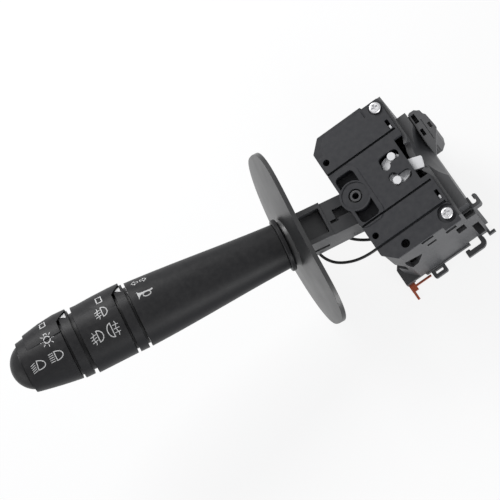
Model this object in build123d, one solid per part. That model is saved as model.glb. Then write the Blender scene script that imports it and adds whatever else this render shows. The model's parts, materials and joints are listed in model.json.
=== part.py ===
from build123d import *
from math import asin, cos, pi, radians, sin, tan
import os

# Combination stalk switch for a steering column: lights, fog lights, horn and turn signals.
# Origin: on the cover face, midway between the two column fixing holes. +Z is the cover normal,
# towards the driver. +X points across the housing to the steering column, and the stalk leaves
# towards -X. All sizes are millimetres. The stalk is drawn latched in one turn-signal position.

os.makedirs("parts", exist_ok=True)

# ---------------------------------------------------------------- places and motion
PIVOT_X = 2.4             # turn pivot, measured from the origin
TURN_HALF = 4.4           # from neutral to either latched position, degrees
STALK_SET = 1.4           # how far the stalk leaves behind the line to the striker, degrees
STRIKER_RATIO = 4.3       # striker turns this many times as far as the stalk
LEVER_RISE = 14.5         # stalk axis above the cover plane, degrees
LEVER_DEPTH = 20.0        # stalk axis below the cover face at the pivot
PULL_TRAVEL = 7.0         # flash pull, degrees
RING_TRAVEL = 62.0        # off to the last position of either ring, degrees
HORN_TRAVEL = 2.5

# ---------------------------------------------------------------- clearances
RUN = 0.05                # radial clearance of a running fit
FIT = 0.05                # clearance of a pressed or screwed fit
GAP = 0.3                 # between pieces that move past each other
SEAT = 0.15               # between pieces that only lie beside each other

# ---------------------------------------------------------------- cover plate
COVER_T = 2.0
COVER_LEFT = -5.2
COVER_RIGHT = 30.6
COVER_WAIST = 26.4        # right edge beside the column recess
COVER_TOP = 31.0
COVER_BOTTOM = -32.8
COVER_CHAMFER = 5.3
EAR_X = 22.5              # left edge of both screw ears
EAR_TOP = 29.9
EAR_BOTTOM = -34.6
WAIST_TOP = 10.4
WAIST_BOTTOM = -10.4
CORNER_R = 0.9
GROOVE_W = 1.0
GROOVE_DEPTH = 1.3
GROOVES_Y = (14.3, -13.1, -24.2)
PANEL_STEP = 0.7          # lowered border and lowered end panel
BORDER_W = 1.7
BORDER_END = 22.5         # where the lowered border starts on the left edge
BULGE_R = 6.95            # round bearing housing at the left edge
POCKET_X0, POCKET_X1 = -3.9, 5.0
POCKET_Y0, POCKET_Y1 = -12.3, 10.9
POCKET_DEPTH = 4.6
POCKET_WALL = 1.2
POCKET_R = 2.0
RIM_W = 2.0               # raised band round the pocket
RIM_H = 0.3
BUSH_R = 6.6
BUSH_LIP = 0.6            # raised ring round the bush
BUSH_TOP = 0.1            # top of the bush below the cover face
SPINDLE_R = 3.0
SPINDLE_NECK_R = 2.4      # upper end of the spindle, seen inside the bush
SPINDLE_STEP = -1.8
SPINDLE_BORE = 1.45
SPINDLE_TOP = -0.3
FIX_HOLE_R = 1.45         # two column fixing holes
FIX_SPACING = 38.8
FIX_DEPTH = 16.0
FIX_BOSS_R = 3.0
PEG_HOLE_R = 1.9          # locating hole
PEG_CLEAR = 0.6           # extra radius of the same hole below the cover
PEG_HOLE_X, PEG_HOLE_Y = 6.1, -29.3
HOOK_SLOTS = ((28.4, 17.3), (28.7, -20.2))
HOOK_SLOT_W, HOOK_SLOT_L = 1.5, 4.6

# ---------------------------------------------------------------- cover screws
SCREW_TOP = (27.6, 26.6)
SCREW_LOW = (27.2, -28.9)
SCREW_HEAD_R = 2.6
SCREW_HEAD_H = 1.7
SCREW_R = 1.4
SCREW_L = 12.0
SCREW_BOSS_R = 3.0
SCREW_POCKET_R = 4.1
SCREW_POCKET_DEPTH = 1.5
SCREW_SPOT_R = 3.0        # shallow seat of the upper screw
SCREW_SPOT_DEPTH = 0.4
DRIVE_W = 0.8             # cross recess in the head
DRIVE_L = 2.9
DRIVE_DEPTH = 0.9

# ---------------------------------------------------------------- cancel striker
STRIKER_X = 19.9          # striker pivot
STRIKER_T = 2.0
STRIKER_R = 6.6
STRIKER_HUB_R = 2.2
CLIP_T = 0.5
POST_R = 1.75
POST_RADIUS = 5.3
POST_TOP = 0.2
TAB_W = 5.3
TAB_REACH = 12.0
PEG_RADIUS = 6.0          # drive peg, on the column side
PEG_R = 1.1
PEG_DROP = 2.6
SLOT_END = 5.2
SLOT_ROUND = 2.0
SLOT_LOBE_R = 2.0
SLOT_LOBE = (-2.4, 2.9)

# ---------------------------------------------------------------- housing and base
WALL = 1.8
HOUSE_INSET = 0.6
HOUSE_RIGHT = 31.9
HOUSE_FLOOR = -48.0       # bottom edge of the housing walls
BASE_BOTTOM = -51.5
BLOCK_RIGHT = 36.5        # terminal block on the column side
BLOCK_TOP = -8.0
BLOCK_Y0, BLOCK_Y1 = -32.2, 20.0
RECESS_X, RECESS_R = 46.6, 18.0           # column recess at its rim
RECESS_LOW_X, RECESS_LOW_R = 58.4, 24.0   # column recess at its foot
RECESS_FOOT = -16.0
RECESS_DEEP = -24.0
RECESS_WALL = 1.1
MOUTH_HALF = 12.2         # opening in the left wall for the carrier and stalk
MOUTH_TOP = -5.95
MOUTH_LOW = -36.5
LEAD_MOUTH_Y = -24.0
LEAD_MOUTH_TOP = -15.0
SIDE_WINDOWS = (          # left, right, foot and top of each window in the lower wall, and depth
    ((11.2, 17.0, -6.8, -4.0), 2.4),
    ((12.4, 16.9, -14.5, -11.9), 2.4),
    ((21.8, 26.9, -15.2, -11.3), 0.9),
    ((25.6, 29.8, -26.6, -18.2), 2.4),
)
SIDE_ARROW = ((0.4, -14.8), (8.0, -18.6), (8.0, -19.6), (4.4, -27.5), (1.4, -28.5), (-0.2, -22.0))
BLOCK_POCKET = (31.9, 35.2)
BLOCK_POCKET_TOP = -28.0
CORNER_POCKET = (-1.2, -36.0, -27.5)      # right edge, foot and top

HOOK_W = 4.8              # cable hook on the block
HOOK_BAR = 1.5
HOOK_Y = -28.4
HOOK_TOP = -14.0
CLIP_BAR = 2.2            # section of the hook and loop on the base
BASE_HOOK_X = (22.5, 32.9)
BASE_HOOK_REACH = 5.3
BASE_HOOK_R = 3.0
HOOK_LEDGE_X = 26.2        # end of the ledge beside the hook
HOOK_THROAT = 1.3          # how far the hook's throat is cut into the base
LOOP_X0, LOOP_X1 = 5.2, 12.1
LOOP_REACH = 4.7
LOOP_BAR = 1.6
LUG_REACH = 2.2
FOOT_X = -7.0             # corner of the base that carries the copper stamping
STRIP_T = 0.8             # copper stamping
STRIP_X = (-6.2, -3.9)
STRIP_ROOT = -24.0
STRIP_BAR = 0.9

# ---------------------------------------------------------------- carrier
CARRIER_TOP = -6.1
CARRIER_T = 2.0
CHEEK_T = 2.2
CHEEK_BACK = -5.0
CHEEK_FRONT = 11.0
FOOT_TOP = -29.4
FOOT_T = 2.0
FOOT_PIN_R = 3.0
FOOT_BOSS_R = 4.2
TONGUE_TOP = -5.4
TONGUE_T = 2.0
TONGUE_HALF = 3.3
TONGUE_END = 26.9
PULL_PIN_R = 1.5

# ---------------------------------------------------------------- stalk arm
NECK_W = 16.0
NECK_H = 8.3              # half height at the pivot
NECK_DROP = 9.6           # depth below the axis at the collar
PARTING = -1.6            # joint line between the arm and its lower cover
COVER_START = 9.6         # where the lower cover begins, from the pivot
NECK_END = 33.0
NECK_PLATE = 1.6           # end wall that the collar seats against
NECK_STEP = 19.0
NECK_STEP_D = 0.6
ARM_POCKET = (20.2, 31.2)
ARM_POCKET_HALF = 5.9
ARM_POCKET_DEPTH = 5.2
ARM_WALL = 1.7
BARREL_R = 8.2
TAIL_END = 17.0
TAIL_HALF = 6.0
CORE_R = 6.5
CORE_BORE = 3.3

# ---------------------------------------------------------------- detent
PLUNGER_R = 2.1
PLUNGER_TIP = 21.5
PLUNGER_L = 9.5
PLUNGER_BACK = 1.2        # how far a full pull pushes the plunger in
SPRING_SEAT = 7.0
CAM_SKIN = 3.6
CAM_NOTCH_R = 2.4
CAM_NOTCH = 0.35
CAM_HALF = 24.0           # half angle of the cam, degrees

# ---------------------------------------------------------------- stalk, measured from the pivot
COLLAR_D = 33.9
COLLAR_BULGE_R = 306.0
COLLAR_T = 1.9
COLLAR_LONG = 81.0
COLLAR_SHORT = 57.0
COLLAR_BLUNT = 2.9         # exponent of the shield's outline, 2 for an ellipse
COLLAR_RISE = 3.3         # how far the middle of the shield stands out of its rim
COLLAR_TILT = 3.6
COLLAR_YAW = 3.3
COLLAR_TWIST = 16.0
HUB_R = 10.2
HUB_FLARE = 1.2
HUB_LIP = 0.2             # straight end of the hub past its flare
HUB_END = COLLAR_D + COLLAR_RISE + HUB_FLARE + HUB_LIP
BEAD_R = 12.0
BEAD_T = 2.1
BODY_END = 108.5
BODY_R0, BODY_R1 = 10.3, 14.7
BODY_BOW = 3.0
BODY_WALL = 1.9
GROOVE_R = 13.0           # bottom of the grooves between rings
BAND_R = 14.75
FOG_BAND = (BODY_END + 1.3, BODY_END + 5.4)
FOG_RING = (BODY_END + 6.6, BODY_END + 25.0)
FOG_R = 15.2
LIGHT_BAND = (BODY_END + 26.9, BODY_END + 31.0)
LIGHT_RING = (BODY_END + 32.2, BODY_END + 52.3)
LIGHT_R0, LIGHT_R1 = 14.4, 11.3
CORE_END = BODY_END + 41.0
RING_WALL = 1.7
WEB_T = 2.4
RING_HUB_R = 8.8
FIN_MID = 72.0            # middle of the thumb grips, degrees from +Z towards +Y
FIN_HALF = 58.0           # half of the angle that a grip takes
FIN_OFF = 2.0             # how far a grip's crown is off the stalk's axis
LIGHT_CROWN = 13.7        # crown radius of each grip
FOG_CROWN = 13.9
LIGHT_FALL = 2.6          # how much lower each grip is at its far end
FOG_FALL = 0.8
LIGHT_FIN_L = 16.0        # length of each grip on its ring
FOG_FIN_L = 16.9
FIN_FLANGE = 4.8          # how far a grip reaches over the fixed band
FIN_SLANT = 46.0          # where the grip's slanting edge crosses, degrees from +Z towards +Y
FIN_SLANT_W = 2.6         # half of the way that the edge slants round the band
DOME_R = 9.75
DOME_H = 6.0
DOME_BASE = LIGHT_RING[1] + 0.6
SKIRT_END = DOME_BASE - 4.4
STEM_BORE = 1.9
DETENT_BALL_R = 1.25
DETENT_RADIUS = 10.4
CONTACT_T = 0.6

# ---------------------------------------------------------------- connector
PLUG_TOP = -10.0
PLUG_X1 = 43.5
PLUG_Y0, PLUG_Y1 = 3.7, 19.0
SOCKET_X0, SOCKET_X1 = 37.4, 41.7
SOCKET_Y0, SOCKET_Y1 = 5.9, 16.0
PLUG_BOTTOM = -31.0
PLUG_WALL = 1.4
PLUG_FLOOR = -18.5
PLUG_LEDGE = 40.9
PIN_X = 39.55
PIN_ROWS = 4
PIN_W, PIN_T = 1.5, 0.7
PIN_L = 6.0
PIN_HEAD = 1.2            # how far each blade is held in the socket floor

# ---------------------------------------------------------------- horn leads
LEAD_R = 0.65
LEAD_BEND = 0.45          # share of the shorter run that an arc takes
LEAD_POST = (9.0, 11.0)   # post on the carrier that both leads end on, along the carrier
LEAD_POST_Y = -19.5
LEAD_POST_Z = (-28.6, -22.4)
LEAD_LONG = [(-25.5, -1.0, -18.0), (-26.95, -1.2, -24.2), (-26.0, -7.2, -26.5), (-21.6, -12.6, -26.8),
             (-12.4, -16.9, -25.8)]
LEAD_LONG_END = (-17.5, -24.0, 9.0)       # on the post: across, height, length of the last run
LEAD_SHORT = [(-12.4, -2.9, -21.35), (-13.6, -3.0, -25.6), (-11.9, -5.6, -28.8), (-7.6, -9.4, -28.9),
              (-2.4, -12.6, -27.9)]
LEAD_SHORT_END = (-14.0, -27.0, 5.7)

HOUSE = Pos(PIVOT_X, 0, 0)
TURN = HOUSE * Rot(Z=-TURN_HALF - STALK_SET)
LEVER = TURN * Pos(0, 0, -LEVER_DEPTH) * Rot(Y=LEVER_RISE)
STRIKER = HOUSE * Pos(STRIKER_X, 0, 0) * Rot(Z=-TURN_HALF * STRIKER_RATIO)


# ---------------------------------------------------------------- small helpers
def box(x0, x1, y0, y1, z0, z1):
    centre = Pos((x0 + x1) / 2, (y0 + y1) / 2, (z0 + z1) / 2)
    return centre * Box(abs(x1 - x0), abs(y1 - y0), abs(z1 - z0))


def rod_z(x, y, z0, z1, r):
    return Pos(x, y, (z0 + z1) / 2) * Cylinder(r, abs(z1 - z0))


def rod_y(x, z, y0, y1, r):
    return Pos(x, (y0 + y1) / 2, z) * Rot(X=90) * Cylinder(r, abs(y1 - y0))


def rod_x(x0, x1, y, z, r):
    return Pos((x0 + x1) / 2, y, z) * Rot(Y=90) * Cylinder(r, abs(x1 - x0))


def prism(points, z0, z1):
    return Pos(0, 0, z0) * extrude(make_face(Polyline(*points, close=True)), z1 - z0)


def side_prism(points, y0, y1):
    """Extrude an outline of (x, z) points from y0 to y1."""
    face = make_face(Polyline(*[(x, y0, z) for x, z in points], close=True))
    return extrude(face, y1 - y0, dir=(0, 1, 0))


def round_box(x0, x1, y0, y1, z0, z1, r):
    face = Pos((x0 + x1) / 2, (y0 + y1) / 2) * RectangleRounded(x1 - x0, y1 - y0, r)
    return Pos(0, 0, z0) * extrude(face, z1 - z0)


def turned(points):
    """Revolve an outline of (distance from pivot, radius) points about the stalk axis."""
    face = make_face(Polyline(*[(-d, 0, r) for d, r in points], close=True))
    return revolve(face, Axis.X, 360)


def ring(d0, d1, r_in, r_out):
    return turned([(d0, r_in), (d1, r_in), (d1, r_out), (d0, r_out)])


def sector(points, start, stop):
    """The same outline, turned only between two angles from +Z towards +Y."""
    face = make_face(Polyline(*[(-d, 0, r) for d, r in points], close=True))
    return revolve(Rot(X=-start) * face, Axis.X, -(stop - start))


def coil(d0, d1, mean_r, wire_r, turns):
    """A compression spring along the stalk axis."""
    path = Helix(pitch=(d1 - d0 - 2 * wire_r) / turns, height=d1 - d0 - 2 * wire_r, radius=mean_r)
    start = Plane(origin=path @ 0, z_dir=path % 0)
    body = sweep(start * RegularPolygon(wire_r, 6), path=path)
    return Pos(-d0 - wire_r, 0, 0) * Rot(Y=-90) * body


NODES = {}


def keep(name, shape, place):
    NODES[name] = place * shape


# ---------------------------------------------------------------- housing side
def cover_outline(inset=0.0):
    left = COVER_LEFT + inset
    top = COVER_TOP - inset
    low = COVER_BOTTOM + inset
    cut = COVER_CHAMFER
    right = COVER_RIGHT - inset
    return [
        (left, top - cut), (left + cut, top), (EAR_X, top), (EAR_X, EAR_TOP), (right, EAR_TOP),
        (right, WAIST_TOP), (COVER_WAIST, WAIST_TOP), (COVER_WAIST, WAIST_BOTTOM),
        (right, WAIST_BOTTOM), (right, EAR_BOTTOM), (EAR_X, EAR_BOTTOM), (EAR_X, low),
        (left + cut, low), (left, low + cut),
    ]


def key_slot(side):
    """Slot for one striker post: a straight run with a round lobe, mirrored by side."""
    reach = POST_RADIUS + POST_R + GAP
    low = POST_RADIUS * cos(radians(TURN_HALF * STRIKER_RATIO)) - POST_R - GAP
    run = round_box(-SLOT_END + 1.1, SLOT_END, low, reach, -COVER_T, RIM_H, SLOT_ROUND)
    lobe = rod_z(SLOT_LOBE[0], SLOT_LOBE[1], -COVER_T, RIM_H, SLOT_LOBE_R)
    slot = run + lobe
    if side < 0:
        slot = mirror(slot, Plane.XZ)
    return Pos(STRIKER_X, 0, 0) * slot


def pocket_block(grow, depth):
    return round_box(POCKET_X0 - grow, POCKET_X1 + grow, POCKET_Y0 - grow, POCKET_Y1 + grow,
                     -depth, 0, POCKET_R + grow)


def cover_plate():
    plate = prism(cover_outline(), -COVER_T, 0)
    corners = plate.edges().filter_by(Axis.Z)
    plate = fillet(corners, CORNER_R * 0.55)
    plate += rod_z(0, 0, -POCKET_DEPTH - POCKET_WALL, 0, BULGE_R)
    plate += pocket_block(POCKET_WALL, POCKET_DEPTH + POCKET_WALL)
    rim = pocket_block(RIM_W, 1.0)
    plate += Pos(0, 0, RIM_H) * (rim - box(-20, COVER_LEFT, -30, 30, -5, 5))
    plate += rod_z(0, 0, -1, RIM_H, BULGE_R)
    bush = rod_z(0, 0, -POCKET_DEPTH - POCKET_WALL, RIM_H, BUSH_R)
    plate -= Pos(0, 0, RIM_H) * pocket_block(0, POCKET_DEPTH + RIM_H) - bush
    plate -= rod_z(0, 0, -BUSH_TOP, RIM_H, BUSH_R - BUSH_LIP)
    plate -= rod_z(0, 0, -10, RIM_H, SPINDLE_R + RUN)
    half = GROOVE_W / 2
    for y in GROOVES_Y:
        plate -= box(-20, COVER_RIGHT - 0.9, y - half, y + half, -GROOVE_DEPTH, 1)
    left, corner = COVER_LEFT + BORDER_W * 2, COVER_TOP - COVER_CHAMFER
    panel = EAR_X - BORDER_W / 2
    inner = prism([(left, BORDER_END), (left, corner - 0.5),
                   (COVER_LEFT + COVER_CHAMFER + BORDER_W * 1.2, COVER_TOP - BORDER_W),
                   (panel, COVER_TOP - BORDER_W), (panel, corner), (COVER_RIGHT, corner),
                   (COVER_RIGHT, BORDER_END)], -5, 5)
    border = box(-20, EAR_X, BORDER_END, 40, -PANEL_STEP * 0.6, 1) - inner
    plate -= border
    plate -= box(-20, 50, -60, GROOVES_Y[2] - half, -PANEL_STEP, 1)
    for side in (1, -1):
        plate -= key_slot(side)
        plate -= rod_z(-PIVOT_X, side * FIX_SPACING / 2, -10, 1, FIX_HOLE_R)
    plate -= rod_z(PEG_HOLE_X, PEG_HOLE_Y, -10, 1, PEG_HOLE_R)
    for x, y in HOOK_SLOTS:
        plate -= box(x - HOOK_SLOT_W / 2, x + HOOK_SLOT_W / 2, y - HOOK_SLOT_L / 2,
                     y + HOOK_SLOT_L / 2, -10, 1)
    plate -= rod_z(*SCREW_LOW, -SCREW_POCKET_DEPTH, 1, SCREW_POCKET_R)
    plate -= rod_z(*SCREW_TOP, -SCREW_SPOT_DEPTH, 1, SCREW_SPOT_R)
    for x, y in (SCREW_TOP, SCREW_LOW):
        plate -= rod_z(x, y, -10, 1, SCREW_R + FIT)
    pin_y = (POCKET_Y0 - BULGE_R) / 2
    plate += rod_z(0, pin_y, -POCKET_DEPTH, -POCKET_DEPTH + 0.4, 1.0)
    stub = -COVER_T - GAP - STRIKER_T - 2 * RUN - CLIP_T
    plate += rod_z(STRIKER_X, 0, stub, -COVER_T, STRIKER_HUB_R - RUN)
    return plate


def cross_screw(x, y, seat):
    head = rod_z(x, y, seat, seat + SCREW_HEAD_H, SCREW_HEAD_R)
    crown = head.edges().group_by(Axis.Z)[-1]
    head = fillet(crown, 0.9)
    for turn in (0, 90):
        slot = Rot(Z=turn) * Box(DRIVE_L, DRIVE_W, DRIVE_DEPTH * 2)
        head -= Pos(x, y, seat + SCREW_HEAD_H) * slot
    return head + rod_z(x, y, seat - SCREW_L, seat, SCREW_R)


def cover_screws():
    return cross_screw(*SCREW_TOP, -SCREW_SPOT_DEPTH) + cross_screw(*SCREW_LOW, -SCREW_POCKET_DEPTH)


def house_outline(inset):
    left = COVER_LEFT + inset
    top = COVER_TOP - inset
    low = COVER_BOTTOM + inset
    cut = COVER_CHAMFER
    right = HOUSE_RIGHT - inset + HOUSE_INSET
    return [(left, top - cut), (left + cut, top), (right, top), (right, low), (left + cut, low),
            (left, low + cut)]


def column_recess():
    """Hollow that the steering column boss passes through, widening towards its foot."""
    rim = Pos(RECESS_X, 0, 0) * Circle(RECESS_R)
    foot = Pos(RECESS_LOW_X, 0, RECESS_FOOT) * Circle(RECESS_LOW_R)
    upper = loft([rim, foot])
    lower_x = RECESS_LOW_X + 2.2
    low = Pos(lower_x, 0, RECESS_DEEP) * Circle(RECESS_LOW_R)
    return upper + loft([foot, low])


def cable_hook():
    """Open hook on the column side of the block, with the rib that stiffens it."""
    x0, x1, y = BLOCK_RIGHT, BLOCK_RIGHT + HOOK_W, HOOK_Y
    foot = HOOK_TOP - 5
    hook = round_box(x0 - 1, x1, y - HOOK_BAR, y + 3.8, foot, HOOK_TOP, 1.4)
    hook -= box(x0 - 2, x0, y - 3, y + 5, foot, HOOK_TOP)
    hook -= round_box(x0 + 1.1, x1 - HOOK_BAR, y, y + 6, foot, HOOK_TOP, 0.8)
    lip = box(x1 - HOOK_BAR - 0.5, x1 - 0.4, y + 2.7, y + 3.6, foot, HOOK_TOP)
    rib = box(x0, x0 + HOOK_BAR, y - HOOK_BAR, y, HOUSE_FLOOR, foot)
    return hook + lip + rib


def housing():
    body = prism(house_outline(HOUSE_INSET), HOUSE_FLOOR, -COVER_T)
    block = box(HOUSE_RIGHT - 1, BLOCK_RIGHT, BLOCK_Y0, BLOCK_Y1, HOUSE_FLOOR, BLOCK_TOP)
    body += block
    cavity = prism(house_outline(HOUSE_INSET + WALL), HOUSE_FLOOR - 1, 0)
    cavity -= rod_z(RECESS_X, 0, HOUSE_FLOOR - 2, 1, RECESS_R + RECESS_WALL)
    body -= cavity
    body -= column_recess()
    tab_half = TAB_REACH * sin(radians(TURN_HALF * STRIKER_RATIO)) + TAB_W / 2 + GAP
    body -= box(20, 40, -tab_half, tab_half, -COVER_T - STRIKER_T - 2 * GAP, 0)
    body -= box(COVER_LEFT - 1, 0, -MOUTH_HALF, MOUTH_HALF, MOUTH_LOW, MOUTH_TOP)
    body -= box(COVER_LEFT - 1, 0, LEAD_MOUTH_Y, 0, MOUTH_LOW, LEAD_MOUTH_TOP)
    body -= rod_z(0, 0, HOUSE_FLOOR, MOUTH_LOW + 1, FOOT_BOSS_R + SEAT)
    body -= pocket_block(POCKET_WALL + SEAT, POCKET_DEPTH + POCKET_WALL + SEAT)
    body -= rod_z(0, 0, MOUTH_TOP, 0, BULGE_R + SEAT)
    for side in (1, -1):
        y = side * FIX_SPACING / 2
        body += rod_z(-PIVOT_X, y, -FIX_DEPTH, -COVER_T, FIX_BOSS_R) & box(
            COVER_LEFT + HOUSE_INSET, 10, -40, 40, -50, 0)
        body -= rod_z(-PIVOT_X, y, -FIX_DEPTH + 1.5, 0, FIX_HOLE_R)
    for (x, y), seat in ((SCREW_TOP, -SCREW_SPOT_DEPTH), (SCREW_LOW, -SCREW_POCKET_DEPTH)):
        body += rod_z(x, y, seat - SCREW_L - 2, -COVER_T, SCREW_BOSS_R) & box(
            0, HOUSE_RIGHT, COVER_BOTTOM + HOUSE_INSET, COVER_TOP - HOUSE_INSET, -50, 0)
        body -= rod_z(x, y, seat - SCREW_L - 0.6, 0, SCREW_R + FIT)
    body -= rod_z(PEG_HOLE_X, PEG_HOLE_Y, -8, 0, PEG_HOLE_R + PEG_CLEAR)
    low_face = COVER_BOTTOM + HOUSE_INSET
    for (x0, x1, z0, z1), depth in SIDE_WINDOWS:
        body -= box(x0, x1, low_face - 1, low_face + depth, z0, z1)
    body -= side_prism(SIDE_ARROW, low_face - 1, low_face + WALL + 1)
    body -= box(*BLOCK_POCKET, BLOCK_Y0 - 1, BLOCK_Y0 + 6, HOUSE_FLOOR - 1, BLOCK_POCKET_TOP)
    body -= box(HOUSE_RIGHT, BLOCK_RIGHT + 1, BLOCK_Y0 - 1, -28.2, -15.0, 0)
    body -= box(HOUSE_RIGHT, BLOCK_RIGHT + 1, BLOCK_Y0 + 1.0, -29.4, -18.0, 0)
    for y0, y1 in ((-29.5, -14.0), (12.5, 18.2)):
        body -= box(HOUSE_RIGHT, BLOCK_RIGHT - 1.4, y0, y1, HOUSE_FLOOR - 1, -21.0)
    body += cable_hook()
    body -= box(COVER_LEFT - 1, CORNER_POCKET[0], low_face - 1, low_face + 7, *CORNER_POCKET[1:])
    core = rod_z(RECESS_X, 0, HOUSE_FLOOR - 1, RECESS_DEEP - WALL, RECESS_R - WALL)
    body -= core & box(0, BLOCK_RIGHT - WALL, -40, 40, HOUSE_FLOOR - 2, 0)
    return body


def retaining_hooks():
    """White hook tips of the contact frames, seen through the two small slots."""
    hooks = Part()
    for x, y in HOOK_SLOTS:
        stem = box(x - 0.5, x + 0.5, y - 1.9, y - 1.1, -7.0, -0.9)
        nose = box(x - 0.5, x + 0.5, y - 1.9, y - 0.3, -1.6, -0.9)
        foot = box(x - 0.5, HOUSE_RIGHT - WALL, y - 1.9, y - 1.1, -7.0, -6.0)
        hooks += stem + nose + foot
    return hooks


def striker():
    """Rocker that the column's cancelling cam strikes; two posts show through the cover."""
    plate = rod_z(0, 0, -STRIKER_T, 0, STRIKER_R)
    tab = box(0, TAB_REACH, -TAB_W / 2, TAB_W / 2, -STRIKER_T, 0)
    tip = tab.edges().filter_by(Axis.Z).group_by(Axis.X)[-1]
    plate += fillet(tip, 0.5)
    plate -= box(-STRIKER_R, -STRIKER_R + 1.6, -8, 8, -STRIKER_T, 0)
    for side in (1, -1):
        plate += rod_z(0, side * POST_RADIUS, 0, COVER_T + GAP + POST_TOP, POST_R)
    plate += rod_z(PEG_RADIUS, 0, -STRIKER_T - PEG_DROP, 0, PEG_R)
    plate -= rod_z(0, 0, -STRIKER_T, 0, STRIKER_HUB_R)
    return Pos(0, 0, -COVER_T - GAP) * plate


def striker_clip():
    """Push-on washer that keeps the striker on its stub."""
    top = -COVER_T - GAP - STRIKER_T - 2 * RUN
    washer = rod_z(STRIKER_X, 0, top - CLIP_T, top, STRIKER_HUB_R + 1.4)
    return washer - rod_z(STRIKER_X, 0, top - CLIP_T, top, STRIKER_HUB_R - RUN + FIT)


def turn_carrier():
    """Yoke that turns with the stalk: spindle, cheeks, foot and the tongue to the striker."""
    side = (NECK_W / 2 + GAP, NECK_W / 2 + GAP + CHEEK_T)
    under = CARRIER_TOP - CARRIER_T
    body = box(CHEEK_BACK, CHEEK_FRONT, -side[1], side[1], under, CARRIER_TOP)
    body += rod_z(0, 0, under, SPINDLE_STEP, SPINDLE_R)
    body += rod_z(0, 0, SPINDLE_STEP, SPINDLE_TOP, SPINDLE_NECK_R)
    for sign in (1, -1):
        y0, y1 = sign * side[0], sign * side[1]
        body += box(CHEEK_BACK, CHEEK_FRONT, y0, y1, FOOT_TOP - FOOT_T, under)
    body += box(CHEEK_BACK, CHEEK_FRONT, -side[1], side[1], FOOT_TOP - FOOT_T, FOOT_TOP)
    neck = CHEEK_FRONT + 1.5
    tongue = box(CHEEK_FRONT - 3, neck, -6, 6, under, TONGUE_TOP)
    tongue += prism([(neck - 1, -6), (TONGUE_END, -TONGUE_HALF), (TONGUE_END, TONGUE_HALF),
                     (neck - 1, 6)], TONGUE_TOP - TONGUE_T, TONGUE_TOP)
    reach = STRIKER_X + PEG_RADIUS
    half = PEG_R + GAP
    tongue -= box(reach - 1.6, TONGUE_END + 1, -half, half, -9, TONGUE_TOP + 1)
    body += Rot(Z=STALK_SET) * tongue
    body += box(*LEAD_POST, LEAD_POST_Y, -side[1], *LEAD_POST_Z)
    body -= rod_z(0, 0, under - 1, 1, SPINDLE_BORE)
    body -= rod_z(0, 0, FOOT_TOP - FOOT_T - 1, FOOT_TOP + 1, FOOT_PIN_R + RUN)
    body -= rod_y(0, -LEVER_DEPTH, -side[1], side[1], PULL_PIN_R)
    return body


def pull_pin():
    half = NECK_W / 2 + GAP + CHEEK_T
    return rod_y(0, -LEVER_DEPTH, -half, half, PULL_PIN_R)


def base_plate():
    """Snap-in base with the lower pivot stub, a cable loop and a cable hook."""
    low = COVER_BOTTOM + HOUSE_INSET
    body = prism(house_outline(HOUSE_INSET), BASE_BOTTOM, HOUSE_FLOOR)
    body += box(HOUSE_RIGHT - 1, BLOCK_RIGHT, BLOCK_Y0, BLOCK_Y1, BASE_BOTTOM, HOUSE_FLOOR)
    body += box(3.0, HOOK_LEDGE_X, low - 0.7, low + 2, BASE_BOTTOM, HOUSE_FLOOR - 1.2)
    body += prism([(FOOT_X, -24), (FOOT_X, low), (3.0, low), (3.0, -28), (0, -20), (-4, -20)],
                  BASE_BOTTOM, HOUSE_FLOOR)
    inner = house_outline(HOUSE_INSET + WALL + 4)
    body -= prism(inner, BASE_BOTTOM - 1, BASE_BOTTOM + 1.5)
    body += rod_z(0, 0, BASE_BOTTOM + 1, FOOT_TOP - 0.2, FOOT_PIN_R)
    body += rod_z(0, 0, HOUSE_FLOOR, FOOT_TOP - FOOT_T - GAP, FOOT_BOSS_R)
    top = BASE_BOTTOM + CLIP_BAR
    loop = round_box(LOOP_X0, LOOP_X1, low - LOOP_REACH, low + 1, BASE_BOTTOM, top, 1.0)
    loop -= box(LOOP_X0 + LOOP_BAR, LOOP_X1 - LOOP_BAR, low - LOOP_REACH + LOOP_BAR, low - 1.6,
                BASE_BOTTOM, top)
    body += loop
    x0, x1 = BASE_HOOK_X
    edge = low - BASE_HOOK_REACH
    hook = round_box(x0 - 8, x1, edge, low + 1, BASE_BOTTOM, top, BASE_HOOK_R)
    hook -= round_box(x0 - 12, x1 - CLIP_BAR, edge + CLIP_BAR, low + 8, BASE_BOTTOM, top,
                      BASE_HOOK_R - CLIP_BAR)
    hook -= box(x0 - 14, x0, edge - 1, low + 2, BASE_BOTTOM, top)
    body += hook
    body += round_box(x0, x0 + CLIP_BAR, edge, edge + CLIP_BAR + 0.9, BASE_BOTTOM, top, 0.6)
    body -= box(HOOK_LEDGE_X, x1 - CLIP_BAR, low - 1, low + HOOK_THROAT, BASE_BOTTOM, HOUSE_FLOOR)
    lug = BLOCK_RIGHT - 1.2
    body += box(lug, BLOCK_RIGHT, BLOCK_Y0 - LUG_REACH, BLOCK_Y0 + 1, BASE_BOTTOM, top)
    body += box(lug, BLOCK_RIGHT + LUG_REACH, BLOCK_Y0 - LUG_REACH, BLOCK_Y0 - LUG_REACH + 1.2,
                BASE_BOTTOM, top)
    body -= box(-2.8, 2.6, low - 1, low + 1.6, BASE_BOTTOM - 1, BASE_BOTTOM + 1.6)
    groove = box(STRIP_X[0] - FIT, STRIP_X[1] + FIT, -40, STRIP_ROOT + FIT, BASE_BOTTOM - 1,
                 BASE_BOTTOM + STRIP_T + FIT)
    return body - groove


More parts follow.
